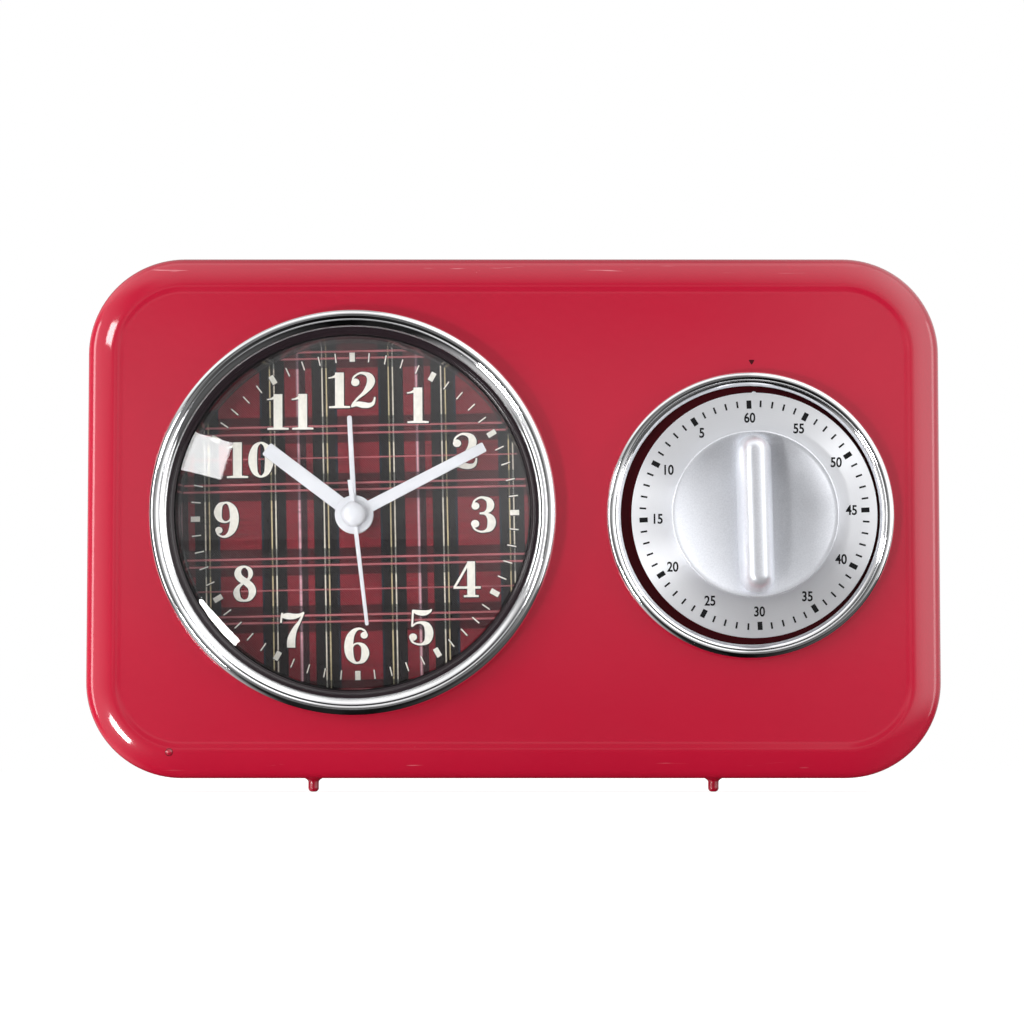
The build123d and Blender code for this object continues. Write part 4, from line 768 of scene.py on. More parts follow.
def copper_winding():
    """Close turns of enamelled wire round an upright bobbin, each darker where it meets the next as painted
    shade.
    """
    f = Finish("copper_winding", (0.55, 0.2, 0.08), 0.3, 1.0, coat_weight=0.6)
    turns = f.math("SINE", f.axes(f.stretch(scale=(1, 1, 0.03 * MM)))[2])
    # Dark between the turns, pale along their middles: painted shade of the grooves between the wires.
    base = f.blend(f.spread(turns, 0.0, 1.0, -1.0, 1.0), (0.3, 0.09, 0.03), (0.62, 0.24, 0.09))
    return f.finished(base_color=base, normal=f.bump(turns, 0.03 * MM))


def circuit_mask():
    """Green solder mask with faint tracks."""
    f = Finish("circuit_mask", (0.02, 0.14, 0.06), 0.35, coat_weight=0.5)
    values = {"Vector": f.stretch(scale=(2 * MM, 2 * MM, 2 * MM)), "Scale": 1.0}
    values["Color1"] = (0.015, 0.12, 0.05, 1)
    values["Color2"] = (0.02, 0.15, 0.065, 1)
    values["Mortar"] = (0.05, 0.25, 0.11, 1)
    tracks = f.add("ShaderNodeTexBrick", values).outputs
    return f.finished(base_color=tracks["Color"], normal=f.bump(tracks["Fac"], 0.02 * MM))


def battery_sleeve():
    """Plain cell: dark sleeve with a copper-coloured plus end and bare steel at both ends."""
    low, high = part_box("battery")
    sleeve, copper, steel = (0.02, 0.02, 0.023), (0.55, 0.25, 0.10), (0.5, 0.5, 0.5)
    f = Finish("battery_sleeve", (0.02, 0.02, 0.022), 0.3, coat_weight=0.6)
    along = f.axes(f.stretch((low.x, 0, 0), (high.x - low.x, 1, 1)))[0]
    band = f.ramp(along, [(0.0, steel), (0.012, sleeve), (0.70, copper), (0.965, steel)])
    wear = f.noise(180.0, 4.0)
    return f.finished(
        base_color=f.blend(f.spread(wear, 0.0, 0.25, 0.4, 0.8), band, (0.2, 0.2, 0.2)),
        roughness=f.spread(wear, 0.2, 0.4),
        normal=f.bump(wear, 0.01 * MM),
    )


# Pieces
class KITCHENCLOCK_OT_case(bpy.types.Operator):
    """Build the painted steel case with its rolled rim and recessed panel, its feet and its index mark"""

    bl_idname = "kitchen_clock.case"
    bl_label = "Case"

    def execute(self, context):
        settings = context.scene.kitchen_clock.case
        paint = red_enamel(settings.paint)
        shell = [(case_points(settings), True, True)]
        place_piece("case_shell", shell, "case", paint, ["front_case"], 50.0)
        feet = [(foot_points(side), True, True) for side in (-1, 1)]
        place_piece("case_feet", feet, "case", paint, ["feet"])
        # Dark triangle for the stamped index: painted shade of the dent.
        ink = printed_ink("index_shadow", srgb(72, 6, 17), 0.6)
        place_piece("timer_index", [(index_points(), False, True)], "case", ink)
        return {"FINISHED"}


def case_points(settings):
    """Section of (inset, depth) carried round the rounded outline.

    It runs up the wall, over the rim to the panel, in to the hole for the clock, and back inside.
    """
    half_width = (CASE_HIGH.x - CASE_LOW.x) / 2
    half_height = (CASE_HIGH.z - CASE_LOW.z) / 2
    sheet, hollow = settings.sheet, settings.hollow
    inner_panel = PANEL_DEPTH - sheet
    rim = rim_section(settings)
    rim[:, 1] += PANEL_DEPTH - rim[-1, 1]
    wall = [(0.0, depth) for depth in np.linspace(CASE_REAR, rim[0, 1], 5)[:-1]]
    bend = arc((hollow + sheet, inner_panel - hollow), hollow, 90, 180, 10)
    inner_wall = [(sheet, depth) for depth in np.linspace(bend[-1, 1], CASE_REAR, 4)[1:]]
    outside = np.concatenate((wall, rim))
    inside = np.concatenate(([(rim[-1, 0], inner_panel)], bend, inner_wall))

    def outline(inset):
        """Rounded outline of the case, drawn in by an inset."""
        return rounded_rectangle(half_width - inset, half_height - inset, settings.corner - inset)

    edge = outline(rim[-1, 0])
    away = edge - CLOCK
    hole_radius = LENS_RADIUS - 1.2 * MM
    inward = away / np.linalg.norm(away, axis=1, keepdims=True) * hole_radius + CLOCK - edge
    loops = [(outline(inset), depth) for inset, depth in outside]
    loops += [(edge + inward * part, PANEL_DEPTH) for part in (0.15, 0.5, 1.0)]
    loops += [(edge + inward * part, inner_panel) for part in (1.0, 0.5)]
    loops += [(outline(inset), depth) for inset, depth in inside]
    return stacked(loops)


def rim_section(settings):
    """Points of (inset, depth) got by adding up short steps whose tilt falls from upright to flat.

    The tilt goes from 90 degrees over the edge roll to the bowed slope band, over the crest to a slight
    inward lean, and back to flat in the valley beside the panel.
    """
    bow, lean = 7, 0.5 * settings.tilt
    outer_tilt, inner_tilt = settings.tilt + bow, settings.tilt - bow
    edge = settings.roll * math.radians(90 - outer_tilt)
    marks = np.cumsum((0, edge, settings.slope, settings.crest, settings.crest))
    runs = [np.linspace(a, b, 14, endpoint=False) for a, b in zip(marks[:-1], marks[1:])]
    along = np.concatenate(runs + [marks[-1:]])
    tilt = np.radians(np.interp(along, marks, (90, outer_tilt, inner_tilt, -lean, 0)))
    middle = (tilt[1:] + tilt[:-1]) / 2
    steps = np.diff(along)[:, None] * np.stack((np.cos(middle), np.sin(middle)), -1)
    return np.concatenate(([(0.0, 0.0)], np.cumsum(steps, axis=0)))


def foot_points(side):
    """Peg turned about an upright line, with (radius, -height) as its profile.

    It has an inner head, a shank, a flared root and a rounded end.
    """
    low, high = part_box("feet")
    head = (high.y - low.y) / 2
    x = side * ((high.x - low.x) / 2 - head)
    y = (low.y + high.y) / 2
    under = CASE_LOW.z
    shank, flare, end, ledge = 1.5 * MM, 1.0 * MM, 1.1 * MM, under + 0.8 * MM
    share = np.linspace(0, 1, 6)
    root = np.stack((shank + flare * share[::-1] ** 2, under - share * flare), -1)
    tip = arc((shank - end, low.z + end), end, 0, -90, 8)
    start = [(0, high.z), (head, high.z), (head, ledge), (shank, ledge), (shank, under)]
    profile = np.concatenate((start, root, tip, [(0, low.z)])) * (1, -1)
    return lathe(profile, (x, y), 40)[..., (0, 2, 1)]


def index_points():
    """Small inverted triangle stamped over the timer: three rounded corners drawn in towards its middle."""
    centre = np.array((TIMER_X - 0.4 * MM, CLOCK_Z + 42.7 * MM))
    size = 0.85 * MM
    angle = np.radians(np.array((-90, -78, 18, 30, 42, 138, 150, 162, 258)))
    reach = np.array((1.0, 0.9, 0.9) * 3) * size
    loop = np.stack((np.cos(angle) * reach, np.sin(angle) * reach), -1)
    rows = ((0.0, -0.1), (1.0, -0.1), (1.0, 0.03), (0.75, 0.02), (0.0, 0.01))
    return stacked([(centre + loop * scale, PANEL_DEPTH + depth * MM) for scale, depth in rows])


class KITCHENCLOCK_OT_rings(bpy.types.Operator):
    """Build the chromed clock bezel, the timer ring, the dark lip and the domed lens"""

    bl_idname = "kitchen_clock.rings"
    bl_label = "Rings and lens"

    def execute(self, context):
        chrome = chrome_plate()
        bezel_top = -BEZEL_LOW.y
        seat = (LENS_RADIUS + 0.2 * MM, -LENS_HIGH.y + 1.7 * MM)
        clock = ring_profile(BEZEL_RADIUS, BEZEL_FOOT, bezel_top, seat)
        grids = [(lathe(clock, CLOCK, 256), True, True)]
        place_piece("bezel_ring", grids, "case", chrome, ["clock_bezel"], 60.0)
        lip_top = bezel_top - BEZEL_DROP - (BEZEL_RADIUS - BEZEL_FOOT) * RING_FALL
        lip = lip_profile(50 * MM, BEZEL_FOOT, lip_top, seat[1])
        lip_finish = moulded_plastic("lip_plastic", (0.02, 0.013, 0.016), 0.14, 300.0)
        grids = [(lathe(lip, CLOCK, 224), True, True)]
        place_piece("lens_lip", grids, "case", lip_finish, (), 60.0)
        timer = ring_profile(RING_RADIUS, RING_INNER, -RING_LOW.y, (RING_INNER, PANEL_DEPTH + 0.3 * MM))
        grids = [(lathe(timer, (RING_X, TIMER_Z), 224), True, True)]
        place_piece("timer_trim", grids, "case", chrome, ["timer_ring"], 60.0)
        grids = [(lathe(lens_profile(), CLOCK), False, True)]
        lens = place_piece("lens_dome", grids, "case", clear_lens(), ["clock_lens"], 8.0)
        lens.visible_shadow = False
        return {"FINISHED"}


def ring_profile(outer, inner, top, seat):
    """Round outer bead, a hair groove, and a bowed slope that faces the middle and ends over the seat."""
    width = outer - inner
    bead = width * 0.36
    groove = outer - width * 0.6
    crest = groove - 0.2 * MM
    share = np.linspace(0, 1, 14)
    drop = width * RING_FALL * (0.45 * share + 0.55 * share ** 2)
    slope = np.stack((crest + (inner - crest) * share, top - BEZEL_DROP - drop), -1)
    profile = [(seat[0], PANEL_DEPTH), (outer, PANEL_DEPTH)]
    profile += arc((outer - bead, top - bead), bead, 0, 125, 22).tolist()
    profile += [(groove, top - 0.6 * MM)] + slope.tolist() + [(inner, seat[1])]
    if seat[0] > inner:
        profile.append(seat)
    return profile


def lip_profile(inner, outer, top, seat):
    """Ring over the lens edge: two flats, each with a rounded inner edge, the inner one lower."""
    edge = 0.25 * MM
    middle = (inner + outer) / 2
    upper = arc((middle + edge, top - 0.45 * MM), edge, 90, 170, 8)
    lower = arc((inner + edge, top - 0.85 * MM), edge, 90, 180, 8)
    return [(outer, seat), (outer, top - 0.05 * MM)] + upper.tolist() + lower.tolist() + [(inner, seat)]


def dome_arc(edge, rise, apex):
    """Arc of a dome from its apex to its edge, of radius (edge squared + rise squared) / (2 rise)."""
    radius = (edge ** 2 + rise ** 2) / (2 * rise)
    span = math.degrees(math.asin(edge / radius))
    return arc((0, apex - radius), radius, 90, 90 - span, 40)


def lens_profile():
    """Half section of a dome: outer arc down to a flat flange, and an inner arc back to the axis."""
    wall = 1.5 * MM
    apex, rear = -LENS_LOW.y, -LENS_HIGH.y
    front, shoulder = rear + wall, 49.8 * MM
    outside = dome_arc(shoulder, apex - front, apex)
    inside = dome_arc(shoulder - 0.3 * MM, apex - wall - rear, apex - wall)
    return np.concatenate((outside, [(LENS_RADIUS, front), (LENS_RADIUS, rear)], inside[::-1]))


class KITCHENCLOCK_OT_dial(bpy.types.Operator):
    """Build the tartan dial with its ticks and numerals"""

    bl_idname = "kitchen_clock.dial"
    bl_label = "Dial"

    def execute(self, context):
        dial = context.scene.kitchen_clock.dial
        rear, front = -DIAL_HIGH.y, DIAL_DEPTH
        hole = 4.05 * MM
        profile = [(hole, rear), (DIAL_RADIUS, rear), (DIAL_RADIUS, front), (hole, front)]
        disc = [(lathe(profile, CLOCK, 160), True, True)]
        place_piece("dial_print", disc, "case", tartan_print(dial), ["clock_dial"])
        ink = printed_ink("dial_ink", dial.ink)
        # Dark outlines round the numerals and ticks: printed outline, shifted right and down as painted
        # shadow.
        edge = printed_ink("dial_ink_edge_shadow", srgb(26, 16, 18))
        for name, patches, lift, finish in (
            ("numeral_edge_shadows", dial_numerals(dial, 0.02), PRINT_LIFT, edge),
            ("numerals", dial_numerals(dial, 0.0), 2 * PRINT_LIFT, ink),
            ("tick_edge_shadows", dial_ticks(dial, 0.13 * MM), PRINT_LIFT, edge),
            ("ticks", dial_ticks(dial, 0.0), 2 * PRINT_LIFT, ink),
        ):
            place_piece(name, flat_mesh(name, patches, front + lift), "case", finish)
        return {"FINISHED"}


def dial_numerals(dial, swell):
    """Twelve upright numerals round the dial; the wide ones stand a little nearer to the middle."""
    patches = []
    pull = {10: 2.6, 11: 1.3, 12: 0.2}
    fall = -0.35 * MM
    # Only the dark outlines are shifted, as painted shadow.
    shift = PAINTED_SHADOW_SHIFT if swell else 0.0
    for hour in range(1, 13):
        angle = math.radians(90 - 30 * hour + dial.turn)
        reach = dial.numeral_circle - pull.get(hour, 0.0) * MM
        aside = -0.6 * MM if hour > 9 else -0.1 * MM
        x = CLOCK_X + reach * math.cos(angle) + aside
        z = CLOCK_Z + reach * math.sin(angle) + fall
        for patch in numeral_patches(str(hour), swell):
            upright = turned_about(patch, dial.turn * 0.4) * dial.numeral_height
            patches.append(upright + (x + shift, z - shift))
    return patches


def dial_ticks(dial, swell):
    """Sixty radial bars: broad at the hours, fine at the minutes."""
    patches = []
    # Only the dark outlines are shifted, as painted shadow.
    shift = PAINTED_SHADOW_SHIFT if swell else 0.0
    for minute in range(60):
        width = (1.5 * MM if minute % 5 == 0 else 0.34 * MM) + 2 * swell
        bar = bar_patch(dial.tick_inner - swell, dial.tick_outer + swell, width, 6 * minute - dial.turn)
        patches.append(bar + (CLOCK_X + shift, CLOCK_Z - shift))
    return patches


class KITCHENCLOCK_OT_hands(bpy.types.Operator):
    """Build the four hands with softened edges and the domed cap"""

    bl_idname = "kitchen_clock.hands"
    bl_label = "Hands"

    def execute(self, context):
        enamel = white_enamel()
        cap_rise = 1.9 * MM
        for name, angle, root, tip, length, tail, hub, corner in (
            ("hour_hand", -53.0, 4.1, 4.1, 31.2, 0.0, 4.9, 0.5),
            ("minute_hand", 62.4, 3.4, 2.9, 41.4, 0.0, 5.45, 0.4),
            ("alarm_hand", -3.2, 1.5, 1.35, 28.3, 0.0, 4.4, 0.6),
            ("second_hand", 173.1, 1.35, 1.0, 31.5, 9.8, 3.0, 0.4),
        ):
            low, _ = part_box(name)
            capped = name == "second_hand"
            front = -low.y - (cap_rise if capped else 0.0)
            sizes = [size * MM for size in (root, tip, length, tail, corner)]
            parts = [(blade_points(*sizes, angle, front), False, True)]
            parts.append((lathe(hub_profile(hub, front), CLOCK, 64), False, True))
            if capped:
                parts.append((lathe(cap_profile(front, -low.y), CLOCK, 64), False, True))
            place_piece(name + "_blade", parts, name, enamel, [name], 40.0)
        return {"FINISHED"}


HAND_SHEET = 0.4 * MM


def blade_points(root, tip, length, tail, corner, angle, front):
    """Tapered bar with rounded tip corners, as rings from its rear over a small bevel to its middle line."""
    side = tip / 2 - corner
    end = [arc((side, length - corner), corner, 0, 90, 6), arc((-side, length - corner), corner, 90, 180, 6)]
    loop = np.concatenate([[(-root / 2, -tail), (root / 2, -tail)]] + end)
    middle = loop * (0, 1)
    bevel = 0.1 * MM
    shrink = 1 - bevel / (root / 2)
    rear, ridge = front - HAND_SHEET, front + 0.04 * MM
    rows = []
    for share, depth in ((0.0, rear), (1.0, rear), (1.0, front - bevel), (shrink, front), (0.0, ridge)):
        rows.append((turned_about(middle + (loop - middle) * share, -angle) + CLOCK, depth))
    return stacked(rows)


def hub_profile(hub, front):
    """Half section of a hub, its radius in millimetres: a boss behind and a flat disc with a soft edge."""
    rear = front - HAND_SHEET
    soft = 0.02 * MM
    boss, boss_rear = hub * 0.8 * MM, rear - 0.3 * MM
    return [
        (0, boss_rear), (boss, boss_rear), (boss, rear), (hub * MM, rear + soft),
        (hub * MM, front - 0.08 * MM), ((hub - 0.1) * MM, front + soft), (0, front + soft),
    ]


def cap_profile(rear, top):
    """Low dome with a softened edge."""
    radius = 3.55 * MM
    share = np.linspace(0, math.pi / 2, 16)
    dome = np.stack((radius * np.cos(share) ** 0.8, rear + (top - rear) * np.sin(share)), -1)
    return np.concatenate(([(0, rear)], dome))


class KITCHENCLOCK_OT_timer(bpy.types.Operator):
    """Build the timer's spun disc, its printed scale and the dished knob with its grip bar"""

    bl_idname = "kitchen_clock.timer"
    bl_label = "Timer disc and knob"

    def execute(self, context):
        timer = context.scene.kitchen_clock.timer
        rear, front = -DISC_HIGH.y, DISC_DEPTH
        bevel, bore, nib_radius = 0.15 * MM, 2.52 * MM, 0.8 * MM
        edge, shoulder = DISC_RADIUS - bevel, front - bevel
        disc = [(bore, rear), (edge, rear), (DISC_RADIUS, rear + bevel), (DISC_RADIUS, shoulder)]
        disc += [(edge, front), (28 * MM, front), (bore, front)]
        nib = [(0, rear), (nib_radius, rear), (nib_radius, shoulder), (0, shoulder)]
        nib_place = (TIMER_X, TIMER_Z + DISC_RADIUS - 0.45 * MM)
        parts = [(lathe(disc, TIMER), True, True), (lathe(nib, nib_place, 24), False, True)]
        mesh = closed_mesh("scale_disc", parts)
        radial_uv(mesh, TIMER)
        place_piece("scale_disc", mesh, "timer_knob", spun_aluminium(), ["timer_disc"])
        ink = printed_ink("scale_ink", srgb(24, 24, 26), 0.5)
        marks = flat_mesh("scale_ticks", scale_ticks(timer), front + PRINT_LIFT)
        place_piece("scale_ticks", marks, "timer_knob", ink)
        numbers = scale_numbers(timer, front + PRINT_LIFT)
        place_piece("scale_numbers", numbers, "timer_knob", ink)
        knob = [(lathe(dish_profile(), TIMER, 160), False, True), (bar_points(timer.bar_turn), False, True)]
        place_piece("knob_grip", knob, "timer_knob", satin_silver(), ["timer_knob"], 45.0)
        return {"FINISHED"}


def read_values(group, name, width, kind):
    """Array of one value of every item of a mesh's list."""
    values = np.zeros(len(group) * width, kind)
    group.foreach_get(name, values)
    return values


def radial_uv(mesh, centre):
    """UV map whose first axis is the radius and whose second runs round a centre."""
    points = read_values(mesh.vertices, "co", 3, float).reshape(-1, 3)
    points = points[read_values(mesh.loops, "vertex_index", 1, np.int32)]
    across, upright = points[:, 0] - centre[0], points[:, 2] - centre[1]
    angle = np.arctan2(upright, across) / (2 * math.pi) + 0.5
    face_start = read_values(mesh.polygons, "loop_start", 1, np.int32)
    first = np.repeat(angle[face_start], read_values(mesh.polygons, "loop_total", 1, np.int32))
    angle = angle + np.round(first - angle)
    uv = np.stack((np.hypot(across, upright) / (100 * MM), angle), -1)
    layer = mesh.uv_layers.new(name="radial")
    layer.data.foreach_set("uv", uv.astype(np.float32).ravel())


def scale_ticks(timer):
    """Radial bars of the minutes, with a broad one at each numbered minute."""
    patches = []
    for minute in range(timer.minutes):
        bold = minute % 5 == 0
        width = 1.35 * MM if bold else 0.5 * MM
        inner = timer.tick_inner if bold else timer.tick_inner + 0.45 * MM
        angle = -360 * minute / timer.minutes - timer.turn
        patches.append(bar_patch(inner, timer.tick_outer, width, angle) + (TIMER_X, TIMER_Z))
    return patches


def scale_numbers(timer, depth):
    """Upright numbers of the minutes, running anticlockwise from the top, as one flat mesh."""
    capital, narrow, swell = 0.72, 0.84, 0.085 * MM
    spin = Euler((math.radians(90), 0, 0)).to_matrix().to_4x4()
    build = bmesh.new()
    for minute in range(5, timer.minutes + 1, 5):
        curve = bpy.data.curves.new("number", "FONT")
        curve.body = str(minute)
        curve.align_x = "CENTER"
        curve.align_y = "CENTER"
        curve.size = timer.number_height / capital
        curve.offset = swell
        text = new_object("number", curve)
        bpy.context.view_layer.update()
        mesh = bpy.data.meshes.new_from_object(text)
        angle = math.radians(90 + 360 * minute / timer.minutes + timer.turn)
        x = TIMER_X + timer.number_circle * math.cos(angle)
        z = TIMER_Z + timer.number_circle * math.sin(angle)
        mesh.transform(Matrix.Translation((x, -depth, z)) @ spin @ Matrix.Diagonal((narrow, 1, 1, 1)))
        build.from_mesh(mesh)
        bpy.data.objects.remove(text)
        bpy.data.curves.remove(curve)
        bpy.data.meshes.remove(mesh)
    mesh = bpy.data.meshes.new("scale_numbers")
    build.to_mesh(mesh)
    build.free()
    return mesh


def dish_profile():
    """Half section of the knob's dish: flat rear, slanting edge, round lip and hollow face."""
    base = -KNOB_HIGH.y
    top, floor = base + 4.5 * MM, base + 1.6 * MM
    lip = 0.45 * MM
    reach = KNOB_RADIUS - lip
    edge = arc((reach, top - lip), lip, 0, 90, 10)
    share = np.linspace(1, 0, 24)
    hollow = np.stack((reach * share, floor + (top - floor) * share ** 2.6), -1)
    return np.concatenate(([(0, base), (KNOB_RADIUS - 0.7 * MM, base)], edge, hollow[1:]))


def bar_points(turn):
    """Grip bar: a stadium outline whose rings shrink to its middle line along a rounded section."""
    half_width, half_length = 4.9 * MM, 22.25 * MM
    base, top = -KNOB_HIGH.y + 0.4 * MM, -KNOB_LOW.y
    straight = half_length - half_width
    steps = 24
    side = np.linspace(-straight, straight, steps)
    upper = arc((0, 0), 1.0, 0, 180, steps)[1:-1]
    lower = arc((0, 0), 1.0, 180, 360, steps)[1:-1]
    away = np.concatenate(([(1, 0)] * steps, upper, [(-1, 0)] * steps, lower))
    ends = np.full(steps - 2, straight)
    line = np.concatenate((side, ends, side[::-1], -ends))
    middle = np.stack((np.zeros(len(line)), line), -1)
    angle = np.linspace(0, math.pi / 2, 20)
    power = 2 / 2.7
    width = half_width * np.cos(angle) ** power
    height = base + (top - base) * np.sin(angle) ** power
    rows = [(0.0, base)] + list(zip(width, height))
    return stacked([(turned_about(middle + away * reach, turn) + TIMER, depth) for reach, depth in rows])


class KITCHENCLOCK_OT_dress(bpy.types.Operator):
    """Give every plain part that stays its own finish: back, movement, battery and timer works"""

    bl_idname = "kitchen_clock.dress"
    bl_label = "Back and works"

    def execute(self, context):
        finishes = {
            "black_plastic": moulded_plastic("black_plastic", (0.028, 0.028, 0.03), 0.5),
            "cup_plastic": moulded_plastic("cup_plastic", (0.018, 0.014, 0.016), 0.14, 200.0),
            "steel": worked_metal("zinc_steel", (0.56, 0.56, 0.55)),
            "gear_plastic": moulded_plastic("gear_plastic", (0.72, 0.68, 0.56), 0.35),
            "plate_plastic": moulded_plastic("plate_plastic", (0.58, 0.58, 0.55), 0.45),
            "magnet": worked_metal("magnet", (0.14, 0.14, 0.15), 0.5),
            "iron_sheet": worked_metal("iron_sheet", (0.42, 0.42, 0.43), 0.4),
            "copper_wire": copper_winding(),
            "board": circuit_mask(),
            "brass": worked_metal("stamped_brass", (0.66, 0.46, 0.18), 0.28),
            "battery_sleeve": battery_sleeve(),
            "spring_steel": worked_metal("blued_spring", (0.16, 0.18, 0.26), 0.25),
            "bell_metal": worked_metal("bell_nickel", (0.66, 0.64, 0.6), 0.18),
            "white_enamel": moulded_plastic("switch_plastic", (0.75, 0.74, 0.7), 0.4),
        }
        for subpart in frame["record"]["subparts"]:
            finish = finishes.get(subpart["material_slot"])
            if finish is not None:
                node = frame["nodes"][subpart["node"]]
                node.data.materials.clear()
                node.data.materials.append(finish)
        return {"FINISHED"}


class KITCHENCLOCK_OT_stage(bpy.types.Operator):
    """Set the pale floor, the soft lights, the white surroundings and the camera"""

    bl_idname = "kitchen_clock.stage"
    bl_label = "Stage"

    def execute(self, context):
        scene = context.scene
        stage = scene.kitchen_clock.stage
        scene.view_settings.view_transform = "Standard"
        scene.world = white_surroundings()
        floor_mesh = bpy.data.meshes.new("floor")
        half, level = 3.0, CAD_BOX[0][2]
        corners = [(x * half, y * half, level) for x, y in ((-1, -1), (1, -1), (1, 1), (-1, 1))]
        floor_mesh.from_pydata(corners, [], [(0, 1, 2, 3)])
        floor_mesh.materials.append(pale_floor())
        floor = new_object("floor", floor_mesh)
        floor.visible_shadow = False
        floor.visible_glossy = False
        target = Vector((0, -0.036, 0))
        for name, place, size, spin, power in (
            ("key", (-0.715, -1.06, 0.325), (0.19, 0.165), -12, stage.key),
            ("low", (-0.7066, -1.06, -0.412), (0.13, 0.25), 37, stage.low),
            ("left", (-1.1, -0.66, 0.06), (0.25, 0.9), 0, stage.strip),
            ("right", (1.1, -0.66, 0.06), (0.25, 0.9), 0, stage.strip * 0.4),
            ("top", (-0.1, -0.45, 1.1), (1.0, 0.5), 0, stage.top),
            ("side", (-1.2, -0.1, 0.02), (0.8, 0.8), 0, stage.side),
            ("rear", (0.3, 1.2, 0.6), (1.0, 0.6), 0, stage.rear),
        ):
            lamp = bpy.data.lights.new(name, "AREA")
            lamp.shape = "RECTANGLE"
            lamp.size, lamp.size_y = size
            lamp.energy = power
            light = new_object(name, lamp)
            light.location = place
            aim = (target - Vector(place)).to_track_quat("-Z", "Y")
            light.rotation_euler = (aim @ Quaternion((0, 0, 1), math.radians(spin))).to_euler()
            light.visible_glossy = name not in ("side", "rear")
        camera_data = bpy.data.cameras.new("camera")
        camera_data.lens = stage.lens
        camera_data.sensor_width = 36.0
        picture = 1024
        camera_data.shift_x = -1.5 / picture
        camera_data.shift_y = 6.3 / picture
        camera = new_object("camera", camera_data)
        tilt = math.radians(stage.elevation)
        camera.location = target + Vector((0, -math.cos(tilt), math.sin(tilt))) * stage.distance
        camera.rotation_euler = (target - camera.location).to_track_quat("-Z", "Y").to_euler()
        scene.camera = camera
        return {"FINISHED"}


def pale_floor():
    """Pale matt floor that keeps a soft shadow and otherwise looks white to the camera."""
    f = Finish("pale_floor", (0.9, 0.9, 0.9), 0.9, specular_ior_level=0.0)
    path = f.add("ShaderNodeLightPath").outputs
    glow = f.add("ShaderNodeEmission", {"Strength": 1.15}).outputs[0]
    share = f.product(path["Is Camera Ray"], 0.8)
    mix = f.add("ShaderNodeMixShader", {0: share, 1: f.shader.outputs[0], 2: glow}).outputs[0]
    f.put(f.tree.nodes["Material Output"], "Surface", mix)
    return f.material


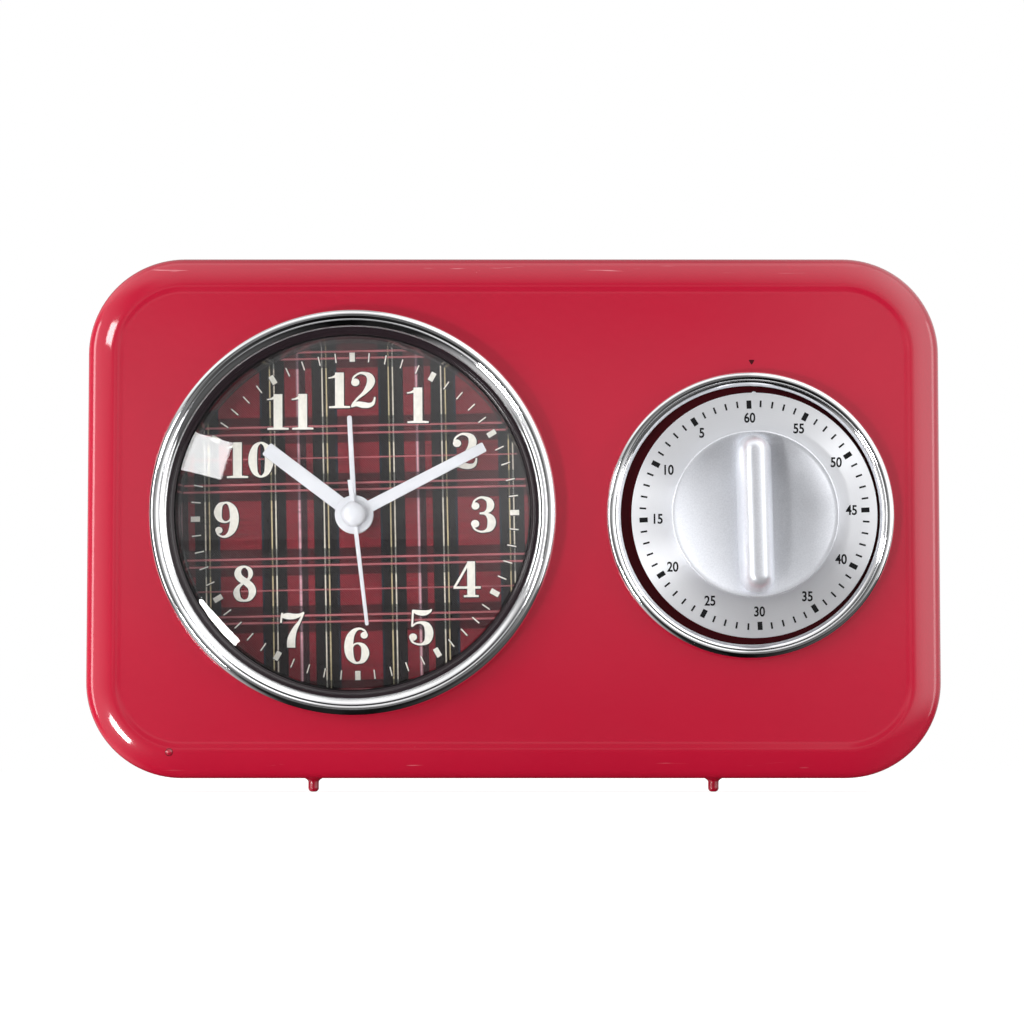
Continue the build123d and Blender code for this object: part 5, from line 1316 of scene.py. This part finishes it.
def white_surroundings():
    """World: white to the camera, an even light on matt surfaces, and a room in reflections.

    In reflections the room is dim behind the camera and paler outwards. It is bright to the right and above,
    less so straight to the sides, pale far to the left behind a dark gap, and dark below.
    """
    world = bpy.data.worlds.new("surroundings")
    world.use_nodes = True
    w = Nodes(world.node_tree)
    path = w.add("ShaderNodeLightPath").outputs
    x, y, z = w.axes(w.add("ShaderNodeTexCoord").outputs["Generated"])

    def soft(value, start, end, low, high):
        """Value carried smoothly from one range to another."""
        return w.spread(value, low, high, start, end, "SMOOTHSTEP")

    def total(*values):
        """Sum of several values."""
        result = values[0]
        for value in values[1:]:
            result = w.math("ADD", result, value)
        return result

    outward = soft(w.math("ABSOLUTE", x), 0.05, 0.13, 0.0, 0.12)
    dip = w.product(soft(z, 0.1, 0.14, 0.0, -0.28), soft(x, 0.04, 0.12, 1.0, 0.0))
    behind = total(soft(z, 0.0, 0.075, 0.03, 0.36), dip, outward)
    right = soft(x, 0.1, 0.65, 0.0, 1.15)
    above = soft(z, 0.3, 0.85, 0.0, 0.9)
    left = w.product(soft(x, -0.78, -0.35, 0.6, 0.0), soft(x, -0.95, -0.8, 0.1, 1.0))
    level = soft(w.math("ABSOLUTE", z), 0.45, 0.65, 1.0, 0.0)
    gap = w.product(w.product(soft(x, -0.35, -0.15, 1.0, 0.0), level), 0.8)
    sides = w.product(total(right, above), soft(y, -0.45, -0.1, 1.0, 0.45))
    lit = w.product(w.math("SUBTRACT", 1.0, gap), soft(z, -0.3, -0.03, 0.08, 1.0))
    room = total(w.product(total(behind, sides), lit), left)
    even = 0.61
    mirror = w.add("ShaderNodeMix", {0: path["Is Glossy Ray"], 2: even, 3: room}).outputs[0]
    seen = w.math("MAXIMUM", path["Is Camera Ray"], path["Is Transmission Ray"])
    strength = w.add("ShaderNodeMix", {0: seen, 2: mirror, 3: 1.0}).outputs[0]
    background = w.tree.nodes["Background"]
    w.put(background, "Strength", strength)
    background.inputs["Color"].default_value = (1, 1, 1, 1)
    return world


class KITCHENCLOCK_PT_panel(bpy.types.Panel):
    """Sidebar panel with the settings and the steps of the clock"""

    bl_idname = "KITCHENCLOCK_PT_panel"
    bl_label = "Kitchen Clock"
    bl_space_type = "VIEW_3D"
    bl_region_type = "UI"
    bl_category = "Clock"

    def draw(self, context):
        settings = context.scene.kitchen_clock
        for group in (settings.case, settings.dial, settings.timer, settings.stage):
            box = self.layout.box()
            for name in group.__annotations__:
                box.prop(group, name)
        for step in STEPS:
            self.layout.operator(step.bl_idname)


STEPS = (
    KITCHENCLOCK_OT_stage,
    KITCHENCLOCK_OT_case,
    KITCHENCLOCK_OT_rings,
    KITCHENCLOCK_OT_dial,
    KITCHENCLOCK_OT_hands,
    KITCHENCLOCK_OT_timer,
    KITCHENCLOCK_OT_dress,
)
GROUPS = (CaseSettings, DialSettings, TimerSettings, StageSettings, ClockSettings)


def register():
    """Register the settings, the steps and the panel."""
    for group in GROUPS + STEPS + (KITCHENCLOCK_PT_panel,):
        bpy.utils.register_class(group)
    bpy.types.Scene.kitchen_clock = PointerProperty(
        type=ClockSettings, name="Clock", description="Settings of the clock"
    )


def unregister():
    """Remove what register added."""
    del bpy.types.Scene.kitchen_clock
    for group in reversed(GROUPS + STEPS + (KITCHENCLOCK_PT_panel,)):
        bpy.utils.unregister_class(group)


def main():
    """Build the clock step by step."""
    register()
    for step in STEPS:
        family, name = step.bl_idname.split(".")
        getattr(getattr(bpy.ops, family), name)()


if __name__ == "__main__":
    main()
